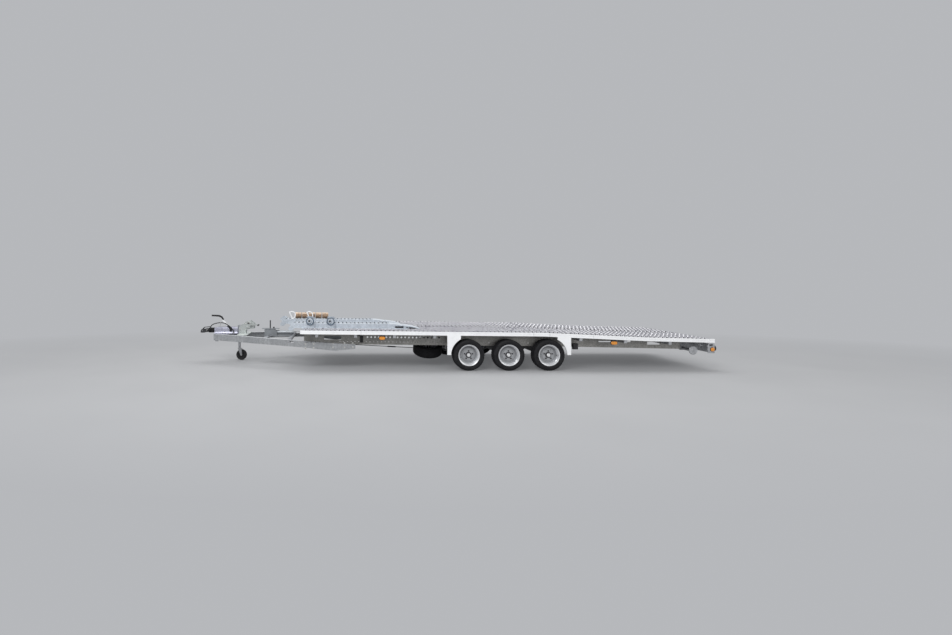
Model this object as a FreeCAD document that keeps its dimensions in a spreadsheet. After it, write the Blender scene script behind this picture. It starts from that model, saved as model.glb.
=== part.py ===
import FreeCAD, Part
import Sketcher
import math
import os
import re

# Car hauler trailer: a low three-axle bed on a galvanised chassis, with a V drawbar.
# Millimetres. +X points to the rear, -Y is the left side, +Z is up, and the floor is Z = 0.
# The origin lies on the floor, midway along the length and the width.

# Driving dimensions
SIZES = [
    # Bed
    ("drawbar_reach", 1930),
    ("bed_front_run", 4100),
    ("bed_slope_run", 1720),
    ("bed_tail_run", 1145),
    ("lamp_overhang", 65),
    ("bed_width", 2100),
    ("bed_clear", 58),
    ("bed_front_rise", 39),
    ("bed_slope_fall", 78),
    ("bed_tail_fall", 27),
    ("rail_height", 60),
    ("rail_width", 35),
    ("rail_groove", 9),
    ("rail_groove_deep", 3),
    ("deck_thick", 30),
    ("deck_sheet", 3),
    ("deck_gap", 0.3),
    ("plank_seam", 2),
    ("end_bar_width", 40),
    ("seat_gap", 0.3),
    ("bore_gap", 0.3),
    ("running_gap", 5),
    # Wheels
    ("axle_to_bend", 1255),
    ("axle_pitch", 675),
    ("tyre_radius", 262.5),
    ("tyre_width", 195),
    ("tyre_inset", 10),
    ("rim_radius", 180),
    ("rim_bead_radius", 166),
    ("rim_wall", 4),
    ("rim_step", 9),
    ("rim_face", 75.5),
    ("rim_dish", 62),
    ("disc_thick", 6),
    ("boss_radius", 96),
    ("boss_rise", 12),
    ("stud_circle", 70),
    ("hub_recess_radius", 50),
    ("hub_recess", 8),
    ("nut_radius", 13),
    ("nut_height", 18),
    ("hub_cap_radius", 31),
    ("hub_cap_length", 34),
    ("hub_cap_wall", 4),
    ("drum_radius", 115),
    ("drum_width", 55),
    ("drum_backplate", 5),
    ("stub_radius", 17),
    # Axles
    ("arm_reach", 150),
    ("arm_width", 30),
    ("arm_boss_radius", 44),
    ("arm_hub_radius", 36),
    ("axle_tube", 80),
    ("axle_seat", 20),
    # Beams and cross members
    ("beam_clear", 45),
    ("beam_flange", 55),
    ("beam_wall", 5),
    ("beam_depth", 194),
    ("beam_tail_depth", 146),
    ("beam_front_gap", 50),
    ("beam_tail_gap", 430),
    ("beam_hole_start", 1096),
    ("beam_hole_radius", 15),
    ("beam_hole_pitch", 65),
    ("beam_hole_drop", 66),
    ("beam_pin_start", 620),
    ("beam_pin_radius", 6),
    ("beam_pin_rise", 48),
    ("cross_start", 200),
    ("cross_pitch", 657),
    ("cross_to_axle", 200),
    ("cross_rear_start", 600),
    ("cross_rear_pitch", 750),
    ("cross_tail_back", 60),
    ("cross_end_back", 215),
    ("cross_width", 50),
    ("cross_height", 90),
    ("cross_wall", 5),
    ("outrigger_height", 50),
    ("box_length", 80),
    ("box_height", 101),
    ("box_width", 60),
    ("box_drop", 38),
    # Arch plates
    ("arch_gap", 47.5),
    ("arch_rear_gap", 33.5),
    ("arch_edge", 60),
    ("arch_plate", 4),
    ("arch_fold", 28),
    ("arch_plate_rise", 9.5),
    ("arch_plate_width", 226),
    # Drawbar
    ("head_half_gap", 62),
    ("drawbar_width", 60),
    ("drawbar_wall", 6),
    ("drawbar_head_setback", 270),
    ("drawbar_head_depth", 209),
    ("drawbar_head_fall", 94),
    ("drawbar_knee_depth", 244),
    ("drawbar_knee_fall", 137),
    ("drawbar_foot_depth", 306),
    ("drawbar_foot_fall", 180),
    ("drawbar_tail_depth", 270),
    ("drawbar_tail_fall", 197),
    ("drawbar_foot_run", 590),
    ("drawbar_tail_run", 345),
    ("drawbar_slot_length", 130),
    ("drawbar_slot_height", 34),
    ("drawbar_slot_back", 190),
    ("drawbar_hole_radius", 9),
    ("drawbar_hole_pitch", 71),
    ("drawbar_hole_fall", 158),
    # Front end
    ("housing_length", 450),
    ("housing_width", 96),
    ("housing_height", 104),
    ("housing_foot", 8),
    ("housing_round", 16),
    ("bellows_length", 110),
    ("bellows_radius", 50),
    ("bellows_pleat", 11),
    ("bellows_count", 6),
    ("shaft_radius", 25),
    ("ball_radius", 25.3),
    ("socket_depth", 34),
    ("head_radius", 42),
    ("head_width", 64),
    ("head_handle_width", 26),
    ("lever_thick", 10),
    ("grip_thick", 24),
    # Lighting cable
    ("cable_radius", 8),
    ("cable_gland_radius", 13),
    ("cable_gland_length", 20),
    ("cable_plug_radius", 16),
    ("cable_wire", 3),
    # Winch
    ("post_width", 130),
        ("winch_length", 300),
    ("winch_drum_radius", 26),
    ("winch_flange_radius", 48),
    ("winch_flange", 4),
    ("winch_drum_width", 84),
    ("winch_plate", 5),
    ("winch_gear_radius", 62),
    ("winch_gear_cover", 16),
    ("winch_shaft_radius", 8),
    ("crank_reach", 165),
    ("crank_out", 45),
    ("crank_grip_radius", 14),
    ("crank_grip_length", 110),
    # Hand pump
    ("pump_gap", 180),
    ("pump_length", 235),
    ("pump_width", 110),
    ("pump_height", 120),
    ("pump_base", 10),
    ("pump_drop", 45),
    ("tank_radius", 38),
    ("tank_length", 320),
    ("pump_bar", 50),
    # Jockey wheel
        ("jockey_clamp", 6),
    ("jockey_tube_radius", 30),
    ("jockey_inner_radius", 24),
    ("jockey_wheel_radius", 100),
    ("jockey_wheel_width", 60),
    ("jockey_tube_rise", 7),
    ("jockey_tube_length", 240),
    ("jockey_overlap", 50),
    ("jockey_trail", 40),
    ("jockey_pin_radius", 8),
    ("fork_plate", 5),
    # Ramps and what is stowed on them
    ("ramp_length", 2300),
    ("ramp_left_start", 215),
    ("ramp_right_start", 450),
    ("ramp_width", 330),
    ("ramp_height", 85),
    ("ramp_offset", 440),
    ("ramp_wall", 6),
    ("ramp_foot", 14),
    ("ramp_mouth_radius", 30),
    ("ramp_rib", 40),
    ("ramp_rib_pitch", 330),
    ("hoop_rod", 9),
    ("hoop_height", 150),
    ("hoop_pitch", 335),
    ("roll_radius", 62),
    ("roll_length", 118),
    ("roll_pitch", 130),
    ("clamp_ring_radius", 62),
    ("clamp_rod", 8),
    ("clamp_pitch", 362),
    ("clamp_plate", 8),
    # Spare wheel
    ("spare_offset", 300),
    ("spare_x_back", 580),
    ("spare_drop", 283),
    ("spare_tilt", 20),
    ("spare_stem_radius", 12),
    ("spare_button_radius", 70),
    ("spare_button", 12),
    # Brake rod
    ("rod_radius", 6),
    ("rod_front_drop", 158),
    ("rod_rear_drop", 77),
    ("sleeve_radius", 12),
    ("sleeve_length", 150),
    # Prop stands
    ("prop_inset", 160),
    ("prop_setback", 298),
    ("prop_drop", 142),
    ("prop_length", 300),
    ("prop_radius", 24),
    ("prop_pin_radius", 10),
    ("prop_foot_radius", 72),
    ("prop_foot_thick", 8),
    ("ear_thick", 6),
    # Lamps
    ("lamp_bar_drop", 178),
    ("lamp_bar_height", 150),
    ("lamp_bar_thick", 30),
    ("lamp_side_length", 118),
    ("lamp_radius", 48),
    ("lamp_bezel", 8),
    ("side_lamp_radius", 30),
    ("marker_length", 118),
    ("marker_height", 62),
    ("marker_depth", 30),
    ("marker_hood", 24),
]

# Places that follow from the driving dimensions
PLACES = [
    ("overall", "drawbar_reach + bed_front_run + bed_slope_run + bed_tail_run + lamp_overhang"),
    ("nose_x", "-overall / 2"),
    ("bed_front_x", "nose_x + drawbar_reach"),
    ("bend_x", "bed_front_x + bed_front_run"),
    ("slope_end_x", "bend_x + bed_slope_run"),
    ("bed_rear_x", "slope_end_x + bed_tail_run"),
    ("rail_bend_low", "2 * tyre_radius + bed_clear"),
    ("rail_front_low", "rail_bend_low + bed_front_rise"),
    ("rail_slope_low", "rail_bend_low - bed_slope_fall"),
    ("rail_tail_low", "rail_slope_low - bed_tail_fall"),
    ("front_slope", "bed_front_rise / bed_front_run"),
    ("back_slope", "bed_slope_fall / bed_slope_run"),
    ("tail_slope", "bed_tail_fall / bed_tail_run"),
    ("half_width", "bed_width / 2"),
    ("deck_half", "half_width - rail_width - deck_gap"),
    ("frame_top", "rail_height - deck_thick - seat_gap"),
    ("axle_front_x", "bend_x - axle_to_bend"),
    ("axle_middle_x", "axle_front_x + axle_pitch"),
    ("axle_rear_x", "axle_middle_x + axle_pitch"),
    ("tyre_outer", "half_width - tyre_inset"),
    ("tyre_centre", "tyre_outer - tyre_width / 2"),
    ("rim_bore", "stub_radius + bore_gap"),
    ("rim_inside", "rim_bead_radius - rim_wall"),
    ("rim_well", "rim_inside - rim_step"),
    ("disc_in", "rim_face - rim_dish - disc_thick / 2"),
    ("disc_out", "rim_face - rim_dish + disc_thick / 2"),
    ("boss_face", "disc_out + boss_rise"),
    ("cap_end", "boss_face + hub_cap_length"),
    ("beam_offset", "tyre_outer - tyre_width - beam_clear"),
    ("beam_front_x", "bed_front_x + beam_front_gap"),
    ("beam_tail_x", "bed_rear_x - beam_tail_gap"),
    ("beam_front_low", "rail_front_low - beam_depth"),
    ("beam_bend_low", "rail_bend_low - beam_depth"),
    ("beam_tail_low", "rail_tail_low + tail_slope * beam_tail_gap - beam_tail_depth"),
    ("beam_low_slope", "(beam_front_low - beam_bend_low) / (bend_x - beam_front_x)"),
    ("beam_back_slope", "(beam_bend_low - beam_tail_low) / (beam_tail_x - bend_x)"),
    ("arch_radius", "tyre_radius + arch_gap"),
    ("arch_rear_radius", "tyre_radius + arch_rear_gap"),
    ("arch_plate_low", "tyre_radius + arch_plate_rise"),
    ("drawbar_head_x", "nose_x + drawbar_head_setback"),
    ("foot_x", "bed_front_x + drawbar_foot_run"),
    ("drawbar_tail_x", "foot_x + drawbar_tail_run"),
    ("drawbar_head_low", "rail_front_low - drawbar_head_depth"),
    ("drawbar_head_top", "rail_front_low - drawbar_head_fall"),
    ("drawbar_knee_low", "rail_front_low - drawbar_knee_depth"),
    ("drawbar_knee_top", "rail_front_low - drawbar_knee_fall"),
    ("drawbar_foot_low", "rail_front_low - drawbar_foot_depth"),
    ("drawbar_foot_top", "rail_front_low - drawbar_foot_fall"),
    ("drawbar_tail_low", "rail_front_low - drawbar_tail_depth"),
    ("drawbar_tail_top", "rail_front_low - drawbar_tail_fall"),
    ("drawbar_line", "beam_offset + drawbar_width / 2 + seat_gap"),
    ("arm_spread", "(beam_offset + seat_gap - head_half_gap) / (bed_front_x - drawbar_head_x)"),
    ("arm_fall", "(drawbar_head_top - drawbar_knee_top) / (bed_front_x - drawbar_head_x)"),
    ("post_reach", "head_half_gap + drawbar_width / 2 + arm_spread * (housing_length + post_width / 4)"),
    ("arm_angle", "atan(arm_spread)"),
    ("shaft_height", "drawbar_head_top + housing_foot + housing_height / 2"),
    ("neck_x", "drawbar_head_x - bellows_length - 1"),
    ("ball_x", "nose_x + head_radius"),
    ("post_x", "drawbar_head_x + housing_length"),
    ("crank_x", "post_x + 215"),
    ("crank_height", "drawbar_head_top + 165"),
    ("pump_x", "post_x + winch_length + pump_gap"),
    ("pump_low", "drawbar_head_top - pump_drop"),
    ("jockey_x", "post_x - jockey_tube_radius"),
    ("jockey_arm_y", "head_half_gap + arm_spread * (jockey_x - drawbar_head_x)"),
    ("jockey_y", "jockey_arm_y - (jockey_tube_radius + jockey_clamp) / cos(arm_angle)"),
    ("jockey_tube_low", "drawbar_head_low + jockey_tube_rise"),
    ("jockey_tube_top", "jockey_tube_low + jockey_tube_length"),
    ("fork_top", "2 * jockey_wheel_radius + 22"),
    ("swivel_height", "fork_top + 13"),
    ("spare_x", "axle_front_x - spare_x_back"),
    ("spare_height", "rail_bend_low - spare_drop"),
    ("spare_cross_top", "rail_front_low - front_slope * (spare_x - bed_front_x) + frame_top"),
    ("spare_cross_low", "spare_cross_top - cross_width * back_slope - cross_height"),
    ("spare_stem_drop", "boss_face + seat_gap + spare_button"),
    ("spare_stem_y", "-spare_offset + spare_stem_drop * sin(spare_tilt)"),
    ("spare_stem_low", "spare_height - spare_stem_drop * cos(spare_tilt)"),
    ("spare_stem_length", "(spare_cross_low - spare_button - spare_stem_low) / cos(spare_tilt)"),
    ("axle_front_tube_x", "axle_front_x - arm_reach - axle_tube / 2"),
    ("rod_front_height", "shaft_height - rod_front_drop"),
    ("prop_x", "bed_rear_x - prop_setback"),
    ("prop_offset", "beam_offset - prop_inset"),
    ("prop_height", "rail_tail_low - prop_drop"),
    ("lamp_bar_x", "bed_rear_x - 20"),
    ("lamp_bar_low", "rail_tail_low - lamp_bar_drop"),
]

SIDES = [("left", -1), ("right", 1)]
AXLES = ["front", "middle", "rear"]

doc = FreeCAD.newDocument("CarHauler")
owner = {}
nodes = []


def linked(text):
    """An expression in which each named value is tied to its sheet."""
    def tie(match):
        word = match.group()
        return owner[word] + "." + word if word in owner else word
    return re.sub(r"[a-z][a-z_]{2,}", tie, str(text))


def fill(sheet_name, rows, mark):
    sheet = doc.addObject("Spreadsheet::Sheet", sheet_name)
    for row, (alias, value) in enumerate(rows, start=1):
        sheet.set(f"A{row}", alias)
        sheet.set(f"B{row}", mark + linked(value))
        sheet.setAlias(f"B{row}", alias)
        owner[alias] = sheet_name
    doc.recompute()
    return sheet


# A place may build on the ones above it, so the places are tied row by row
sizes = fill("Sizes", SIZES, "")
fill("Places", PLACES, "=")


def number(text):
    """The present value of an expression."""
    result = sizes.evalExpression(linked(text))
    return float(getattr(result, "Value", result))


def at(piece, x, y, z, turn=None):
    if turn is not None:
        piece.Placement = FreeCAD.Placement(FreeCAD.Vector(), turn)
    for way, text in zip("xyz", (x, y, z)):
        piece.setExpression(f"Placement.Base.{way}", linked(text))
    return piece


def turn_about(axis, degrees):
    return FreeCAD.Rotation(FreeCAD.Vector(*axis), degrees)


LIE = {"Z": None, "X": turn_about((0, 1, 0), 90), "Y": turn_about((1, 0, 0), -90)}


def block(name, length, width, height, x, y, z, turn=None):
    piece = doc.addObject("Part::Box", name)
    for prop, text in (("Length", length), ("Width", width), ("Height", height)):
        piece.setExpression(prop, linked(text))
    return at(piece, x, y, z, turn)


def rod(name, radius, length, x, y, z, axis="Z", turn=None):
    piece = doc.addObject("Part::Cylinder", name)
    piece.setExpression("Radius", linked(radius))
    piece.setExpression("Height", linked(length))
    return at(piece, x, y, z, turn or LIE[axis])


def joined(name, pieces):
    piece = doc.addObject("Part::MultiFuse", name)
    piece.Shapes = pieces
    piece.Refine = True
    return piece


def together(name, pieces):
    piece = doc.addObject("Part::Compound", name)
    piece.Links = pieces
    return piece


def cut(name, base, tool):
    piece = doc.addObject("Part::Cut", name)
    piece.Base = base
    piece.Tool = tool
    return piece


def outline(body, plane, points):
    """A closed sketch whose corners are each tied to a pair of expressions."""
    sketch = body.newObject("Sketcher::SketchObject", body.Name + "_outline")
    role = [f for f in body.Origin.OriginFeatures if f.Role == plane][0]
    sketch.AttachmentSupport = [(role, "")]
    sketch.MapMode = "FlatFace"
    spots = [FreeCAD.Vector(number(u), number(v), 0) for u, v in points]
    count = len(spots)
    for i in range(count):
        sketch.addGeometry(Part.LineSegment(spots[i], spots[(i + 1) % count]))
    for i in range(count):
        sketch.addConstraint(Sketcher.Constraint("Coincident", i, 2, (i + 1) % count, 1))
    for i, (u, v) in enumerate(points):
        for way, text, value in (("X", u, spots[i].x), ("Y", v, spots[i].y)):
            rule = sketch.addConstraint(Sketcher.Constraint("Distance" + way, -1, 1, i, 1, value))
            sketch.setExpression(f"Constraints[{rule}]", linked(text))
    return sketch


def padded(name, plane, points, thick):
    body = doc.addObject("PartDesign::Body", name)
    pad = body.newObject("PartDesign::Pad", name + "_pad")
    pad.Profile = outline(body, plane, points)
    pad.setExpression("Length", linked(thick))
    return body


def plate(name, points, thick, low_y):
    """An outline in X and Z, padded in Y from low_y over its thickness."""
    return at(padded(name, "XZ_Plane", points, thick), "0", f"{low_y} + {thick}", "0")


def profile(name, points, length, low_x):
    """An outline in Y and Z, padded in X from low_x over its length."""
    return at(padded(name, "YZ_Plane", points, length), low_x, "0", "0")


def turned(name, plane, points, axis, x, y, z, turn=None):
    """An outline turned round one of its sketch axes."""
    body = doc.addObject("PartDesign::Body", name)
    spin = body.newObject("PartDesign::Revolution", name + "_spin")
    sketch = outline(body, plane, points)
    spin.Profile = sketch
    spin.ReferenceAxis = (sketch, [axis])
    spin.Angle = 360
    return at(body, x, y, z, turn)


def rounded(body, radius, keep):
    """Rounds the edges of a body's last feature that pass a test."""
    doc.recompute()
    base = body.Tip
    names = [f"Edge{i}" for i, edge in enumerate(base.Shape.Edges, start=1) if keep(edge)]
    soft = body.newObject("PartDesign::Fillet", body.Name + "_round")
    soft.Base = (base, names)
    soft.setExpression("Radius", linked(radius))
    body.Tip = soft
    return body


def side_low(sign, inner, width):
    """Lowest Y of something that starts at an inner distance and has a width."""
    return inner if sign > 0 else f"-({inner}) - {width}"


def node(label, piece):
    piece.Label = label
    nodes.append(piece)
    return piece


def bed_low(x):
    """Height of the side rail's lower edge at a place on the level part of the bed."""
    return f"(rail_front_low - front_slope * ({x} - bed_front_x))"


def bed_at(x):
    """Height of the side rail's lower edge at any place along the bent bed."""
    if number(x) < number("bend_x"):
        return bed_low(x)
    if number(x) < number("slope_end_x"):
        return f"(rail_bend_low - back_slope * ({x} - bend_x))"
    return f"(rail_slope_low - tail_slope * ({x} - slope_end_x))"


def beam_low(x):
    """Height of the main beam's lower edge."""
    if number(x) < number("bend_x"):
        return f"(beam_front_low - beam_low_slope * ({x} - beam_front_x))"
    return f"(beam_bend_low - beam_back_slope * ({x} - bend_x))"


def along_bed(stations, low, top):
    """A closed band that follows the bed between places, from a low rise to a top rise."""
    line = [(x, f"{bed_at(x)} + {low}") for x in stations]
    return line + [(x, f"{bed_at(x)} + {top}") for x in reversed(stations)]


BED = ["bed_front_x", "bend_x", "slope_end_x", "bed_rear_x"]


# Side rails: bent box sections along both edges of the bed, each with a shallow groove outside
def side_rails():
    for side, sign in SIDES:
        bar = plate(f"rail_{side}", along_bed(BED, "0", "rail_height"), "rail_width",
                    side_low(sign, "half_width - rail_width", "rail_width"))
        middle = along_bed(BED, "(rail_height - rail_groove) / 2", "(rail_height + rail_groove) / 2")
        groove = plate(f"groove_{side}", middle, "2 * rail_groove_deep",
                       side_low(sign, "half_width - rail_groove_deep", "2 * rail_groove_deep"))
        node(f"side_rail_{side}", cut(f"rail_grooved_{side}", bar, groove))


# Deck: planks folded from sheet, open below, laid side by side over the level bed and down the slope
PLANKS = 6
DECK_RUNS = {
    "level": ["bed_front_x + end_bar_width", "bend_x"],
    "slope": ["bend_x + plank_seam", "slope_end_x", "bed_rear_x - end_bar_width"],
}


def deck():
    planks = []
    for run, stations in DECK_RUNS.items():
        for i in range(PLANKS):
            low_y = f"(-deck_half + {i} * 2 * deck_half / {PLANKS} + plank_seam / 2)"
            width = f"(2 * deck_half / {PLANKS} - plank_seam)"
            whole = plate(f"plank_{run}_{i}", along_bed(stations, "rail_height - deck_thick", "rail_height"),
                          width, low_y)
            hollow = plate(f"plank_hollow_{run}_{i}",
                           along_bed(stations, "rail_height - deck_thick - 1", "rail_height - deck_sheet"),
                           f"({width} - 2 * deck_sheet)", f"({low_y} + deck_sheet)")
            planks.append(cut(f"plank_open_{run}_{i}", whole, hollow))
    node("deck", together("deck_planks", planks))


# End bars close the bed between the rails at the front and at the back
def end_bars():
    length = "end_bar_width - deck_gap"
    front = block("bar_front", length, "2 * deck_half", "rail_height - front_slope * end_bar_width",
                  "bed_front_x", "-deck_half", "rail_front_low")
    rear = block("bar_rear", length, "2 * deck_half", "rail_height",
                 "bed_rear_x - end_bar_width + deck_gap", "-deck_half", "rail_tail_low")
    node("end_bars", together("end_bar_set", [front, rear]))


# Main beams: channels that open inwards, level at first and bent down with the bed, with their
# row of large holes, a row of small ones below it, and slots near both ends
BEAM_LINE = ["beam_front_x", "bend_x", "slope_end_x", "beam_tail_x"]
BEAM_BASE = ["beam_front_x", "bend_x", "beam_tail_x"]
BEAM_HOLES = 20
BEAM_PINS = 34
BEAM_SLOTS = [
    # place along X, length, rise above the beam's lower edge, height
    ("beam_front_x + 346", 294, 80, 62),
    ("beam_front_x + 170", 70, 140, 26),
    ("bend_x + 1030", 215, 89, 20),
    ("bend_x + 1474", 110, 98, 28),
    ("bend_x + 1870", 215, 62, 50),
]


def main_beams():
    reach = "2 * beam_offset + 40"
    start_y = "-beam_offset - 20"
    tools = []
    for i in range(BEAM_HOLES):
        x = f"(beam_front_x + beam_hole_start + {i} * beam_hole_pitch)"
        tools.append(rod(f"beam_hole_{i}", "beam_hole_radius", reach, x, start_y,
                         f"{bed_low(x)} - beam_hole_drop", "Y"))
    for i in range(BEAM_PINS):
        x = f"(beam_front_x + beam_pin_start + {i} * beam_hole_pitch)"
        tools.append(rod(f"beam_pin_{i}", "beam_pin_radius", reach, x, start_y,
                         f"{beam_low(x)} + beam_pin_rise", "Y"))
    for i, (x, length, rise, height) in enumerate(BEAM_SLOTS):
        tools.append(block(f"beam_slot_{i}", length, reach, height, x, start_y, f"{beam_low(x)} + {rise}"))
    drill = together("beam_drill", tools)
    for side, sign in SIDES:
        base_line = [(x, beam_low(x)) for x in BEAM_BASE]
        top_line = [(x, f"{bed_at(x)} + frame_top") for x in BEAM_LINE]
        web = plate(f"beam_web_{side}", base_line + top_line[::-1], "beam_wall",
                    side_low(sign, "beam_offset - beam_wall", "beam_wall"))
        flange_y = side_low(sign, "beam_offset - beam_flange", "beam_flange")
        top = plate(f"beam_top_{side}", along_bed(BEAM_LINE, "frame_top - beam_wall", "frame_top"),
                    "beam_flange", flange_y)
        base = plate(f"beam_base_{side}", base_line + [(x, f"{z} + beam_wall") for x, z in base_line[::-1]],
                     "beam_flange", flange_y)
        channel = joined(f"beam_channel_{side}", [web, top, base])
        node(f"main_beam_{side}", cut(f"beam_{side}", channel, drill))


# Cross members: channels between the main beams, and outriggers from the beams to the rails
CROSS_ROWS = [
    # place along X, whether outriggers carry the rails there
    ("beam_front_x + cross_start", True),
    ("beam_front_x + cross_start + cross_pitch", True),
    ("beam_front_x + cross_start + 2 * cross_pitch", True),
    ("spare_x - cross_width / 2", True),
    ("axle_front_x - cross_to_axle", False),
    ("axle_middle_x - cross_to_axle", False),
    ("axle_rear_x - cross_to_axle", False),
    ("bend_x + cross_rear_start", True),
    ("bend_x + cross_rear_start + cross_rear_pitch", True),
    ("bend_x + cross_rear_start + 2 * cross_rear_pitch", True),
    ("beam_tail_x - cross_tail_back", False),
    ("bed_rear_x - cross_end_back", False),
]


def cross_members():
    bars = []
    outriggers = []
    for i, (x, carries) in enumerate(CROSS_ROWS):
        inside = number(x) < number("beam_tail_x")
        half = "(beam_offset - beam_wall)" if inside else "(half_width - rail_width)"
        low = f"{bed_at(x)} + frame_top - cross_width * back_slope - cross_height"
        whole = block(f"cross_{i}", "cross_width", f"2 * {half}", "cross_height", x, f"-{half}", low)
        hollow = block(f"cross_hollow_{i}", "cross_width", f"2 * {half} + 2", "cross_height - 2 * cross_wall",
                       f"{x} + cross_wall", f"-{half} - 1", f"{low} + cross_wall")
        bars.append(cut(f"cross_channel_{i}", whole, hollow))
        if not carries:
            continue
        length = "(half_width - beam_offset - rail_width / 2)"
        for side, sign in SIDES:
            outriggers.append(block(f"outrigger_{side}_{i}", "cross_width", length, "outrigger_height", x,
                                    side_low(sign, "beam_offset", length),
                                    f"{bed_at(x)} - cross_width * back_slope - outrigger_height - seat_gap"))
    beams = together("beam_pair", [piece for piece in nodes if piece.Label.startswith("main_beam_")])
    node("cross_members", cut("cross_set", together("cross_bars", bars), beams))
    node("outriggers", together("outrigger_set", outriggers))


# A box on the outer side of the left beam, behind the wheels
def beam_box():
    x = "bend_x + 571"
    node("beam_box", block("side_box", "box_length", "box_width", "box_height", x,
                           side_low(-1, "beam_offset + seat_gap", "box_width"),
                           f"{beam_low(x)} - box_drop"))


# Wheel arch plates: white corner plates with folded edges, before the first wheel and behind the last
ARCHES = [
    # end, axle, way along X, radius
    ("front", "axle_front_x", -1, "arch_radius"),
    ("rear", "axle_rear_x", 1, "arch_rear_radius"),
]


def arch_plates():
    parts = []
    for side, sign in SIDES:
        outer_y = side_low(sign, "half_width - arch_fold", "arch_fold")
        core_y = side_low(sign, "half_width - arch_fold - 1", "(arch_fold + 1 - arch_plate)")
        for end, axle, way, radius in ARCHES:
            edge = f"({axle} + {way} * ({radius} + arch_edge))"
            inner = f"({axle} + {way} * ({radius} + arch_edge - arch_plate_width))"
            fold = f"({edge} - {way} * arch_plate)"
            corners = [(edge, "arch_plate_low"), (inner, "arch_plate_low"),
                       (inner, bed_at(inner)), (edge, bed_at(edge))]
            core = [(fold, "arch_plate_low - 1"), (inner, "arch_plate_low - 1"),
                    (inner, f"{bed_at(inner)} + 1"), (fold, f"{bed_at(fold)} + 1")]
            tag = f"{end}_{side}"
            wheel = rod(f"arch_hole_{tag}", radius, "arch_fold + 20", axle, f"{outer_y} - 10",
                        "tyre_radius", "Y")
            lip = rod(f"arch_lip_{tag}", f"{radius} + arch_plate", "arch_fold + 20", axle,
                      f"{outer_y} - 10", "tyre_radius", "Y")
            solid = cut(f"arch_solid_{tag}", plate(f"arch_{tag}", corners, "arch_fold", outer_y), wheel)
            inside = plate(f"arch_core_{tag}", core, "(arch_fold + 1 - arch_plate)", core_y)
            hollow = cut(f"arch_hollow_{tag}", inside, lip)
            parts.append(cut(f"arch_folded_{tag}", solid, hollow))
    node("arch_plates", together("arch_set", parts))


# Wheels: tyre, and deep steel rim with its stepped well, dished disc, nuts, hub cap and brake drum
TYRE_SECTION = [
    # radius, distance along the axle
    ("rim_bead_radius + 4", "-tyre_width / 2 + 30"),
    ("rim_radius + 2", "-tyre_width / 2 + 30"),
    ("rim_radius + 3", "-tyre_width / 2 + 16"),
    ("tyre_radius - 62", "-tyre_width / 2 + 2"),
    ("tyre_radius - 42", "-tyre_width / 2"),
    ("tyre_radius - 24", "-tyre_width / 2 + 3"),
    ("tyre_radius - 2", "-tyre_width / 2 + 15"),
    ("tyre_radius", "-tyre_width / 4"),
    ("tyre_radius", "tyre_width / 4"),
    ("tyre_radius - 2", "tyre_width / 2 - 15"),
    ("tyre_radius - 24", "tyre_width / 2 - 3"),
    ("tyre_radius - 42", "tyre_width / 2"),
    ("tyre_radius - 62", "tyre_width / 2 - 2"),
    ("rim_radius + 3", "tyre_width / 2 - 16"),
    ("rim_radius + 2", "tyre_width / 2 - 30"),
    ("rim_bead_radius + 4", "tyre_width / 2 - 30"),
]
NUTS = 5


def rim_section(out, mounted):
    """Rim and disc section: radius, and distance along the axle towards the outside."""
    rows = [
        ("rim_well", "disc_in"),
        ("rim_inside", "disc_in - rim_step"),
        ("rim_inside", "-rim_face"),
        ("rim_radius", "-rim_face - 8"),
        ("rim_radius", "-rim_face - 2"),
        ("rim_bead_radius + 4 - seat_gap", "-rim_face + 4"),
        ("rim_bead_radius + 4 - seat_gap", "rim_face - 4"),
        ("rim_radius", "rim_face + 2"),
        ("rim_radius", "rim_face + 8"),
        ("rim_inside", "rim_face"),
        ("rim_inside", "rim_face - 20"),
        ("rim_well", "rim_face - 20 - rim_step"),
        ("rim_well", "disc_out"),
        ("boss_radius + boss_rise", "disc_out"),
        ("boss_radius", "boss_face"),
        ("hub_recess_radius", "boss_face"),
        ("hub_recess_radius - 3", "boss_face - hub_recess"),
        ("hub_cap_radius", "boss_face - hub_recess"),
    ]
    if mounted:
        rows += [
            ("hub_cap_radius", "cap_end - 8"),
            ("hub_cap_radius - 8", "cap_end"),
            ("0", "cap_end"),
            ("0", "cap_end - hub_cap_wall"),
            ("rim_bore", "cap_end - hub_cap_wall"),
            ("rim_bore", "disc_in - drum_width"),
            ("drum_radius", "disc_in - drum_width"),
            ("drum_radius", "disc_in"),
        ]
    else:
        rows.append(("hub_cap_radius", "disc_in"))
    return [(radius, f"{out} * ({along})") for radius, along in rows]


def wheels():
    for axle in AXLES:
        for side, sign in SIDES:
            place = (f"axle_{axle}_x", f"{sign} * tyre_centre", "tyre_radius")
            tag = f"{axle}_{side}"
            node(f"tyre_{tag}", turned(f"tread_{tag}", "XY_Plane", TYRE_SECTION, "V_Axis", *place))
            pieces = [turned(f"disc_{tag}", "XY_Plane", rim_section(sign, True), "V_Axis", *place)]
            for i in range(NUTS):
                nut = doc.addObject("Part::Prism", f"nut_{tag}_{i}")
                nut.Polygon = 6
                nut.setExpression("Circumradius", linked("nut_radius"))
                nut.setExpression("Height", linked("nut_height"))
                angle = f"{360 / NUTS} * {i}"
                low_y = side_low(sign, "boss_face - 1", "nut_height")
                at(nut, f"{place[0]} + stud_circle * sin({angle})", f"{place[1]} + {low_y}",
                   f"{place[2]} + stud_circle * cos({angle})", LIE["Y"])
                pieces.append(nut)
            node(f"rim_{tag}", joined(f"wheel_{tag}", pieces))


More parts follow.
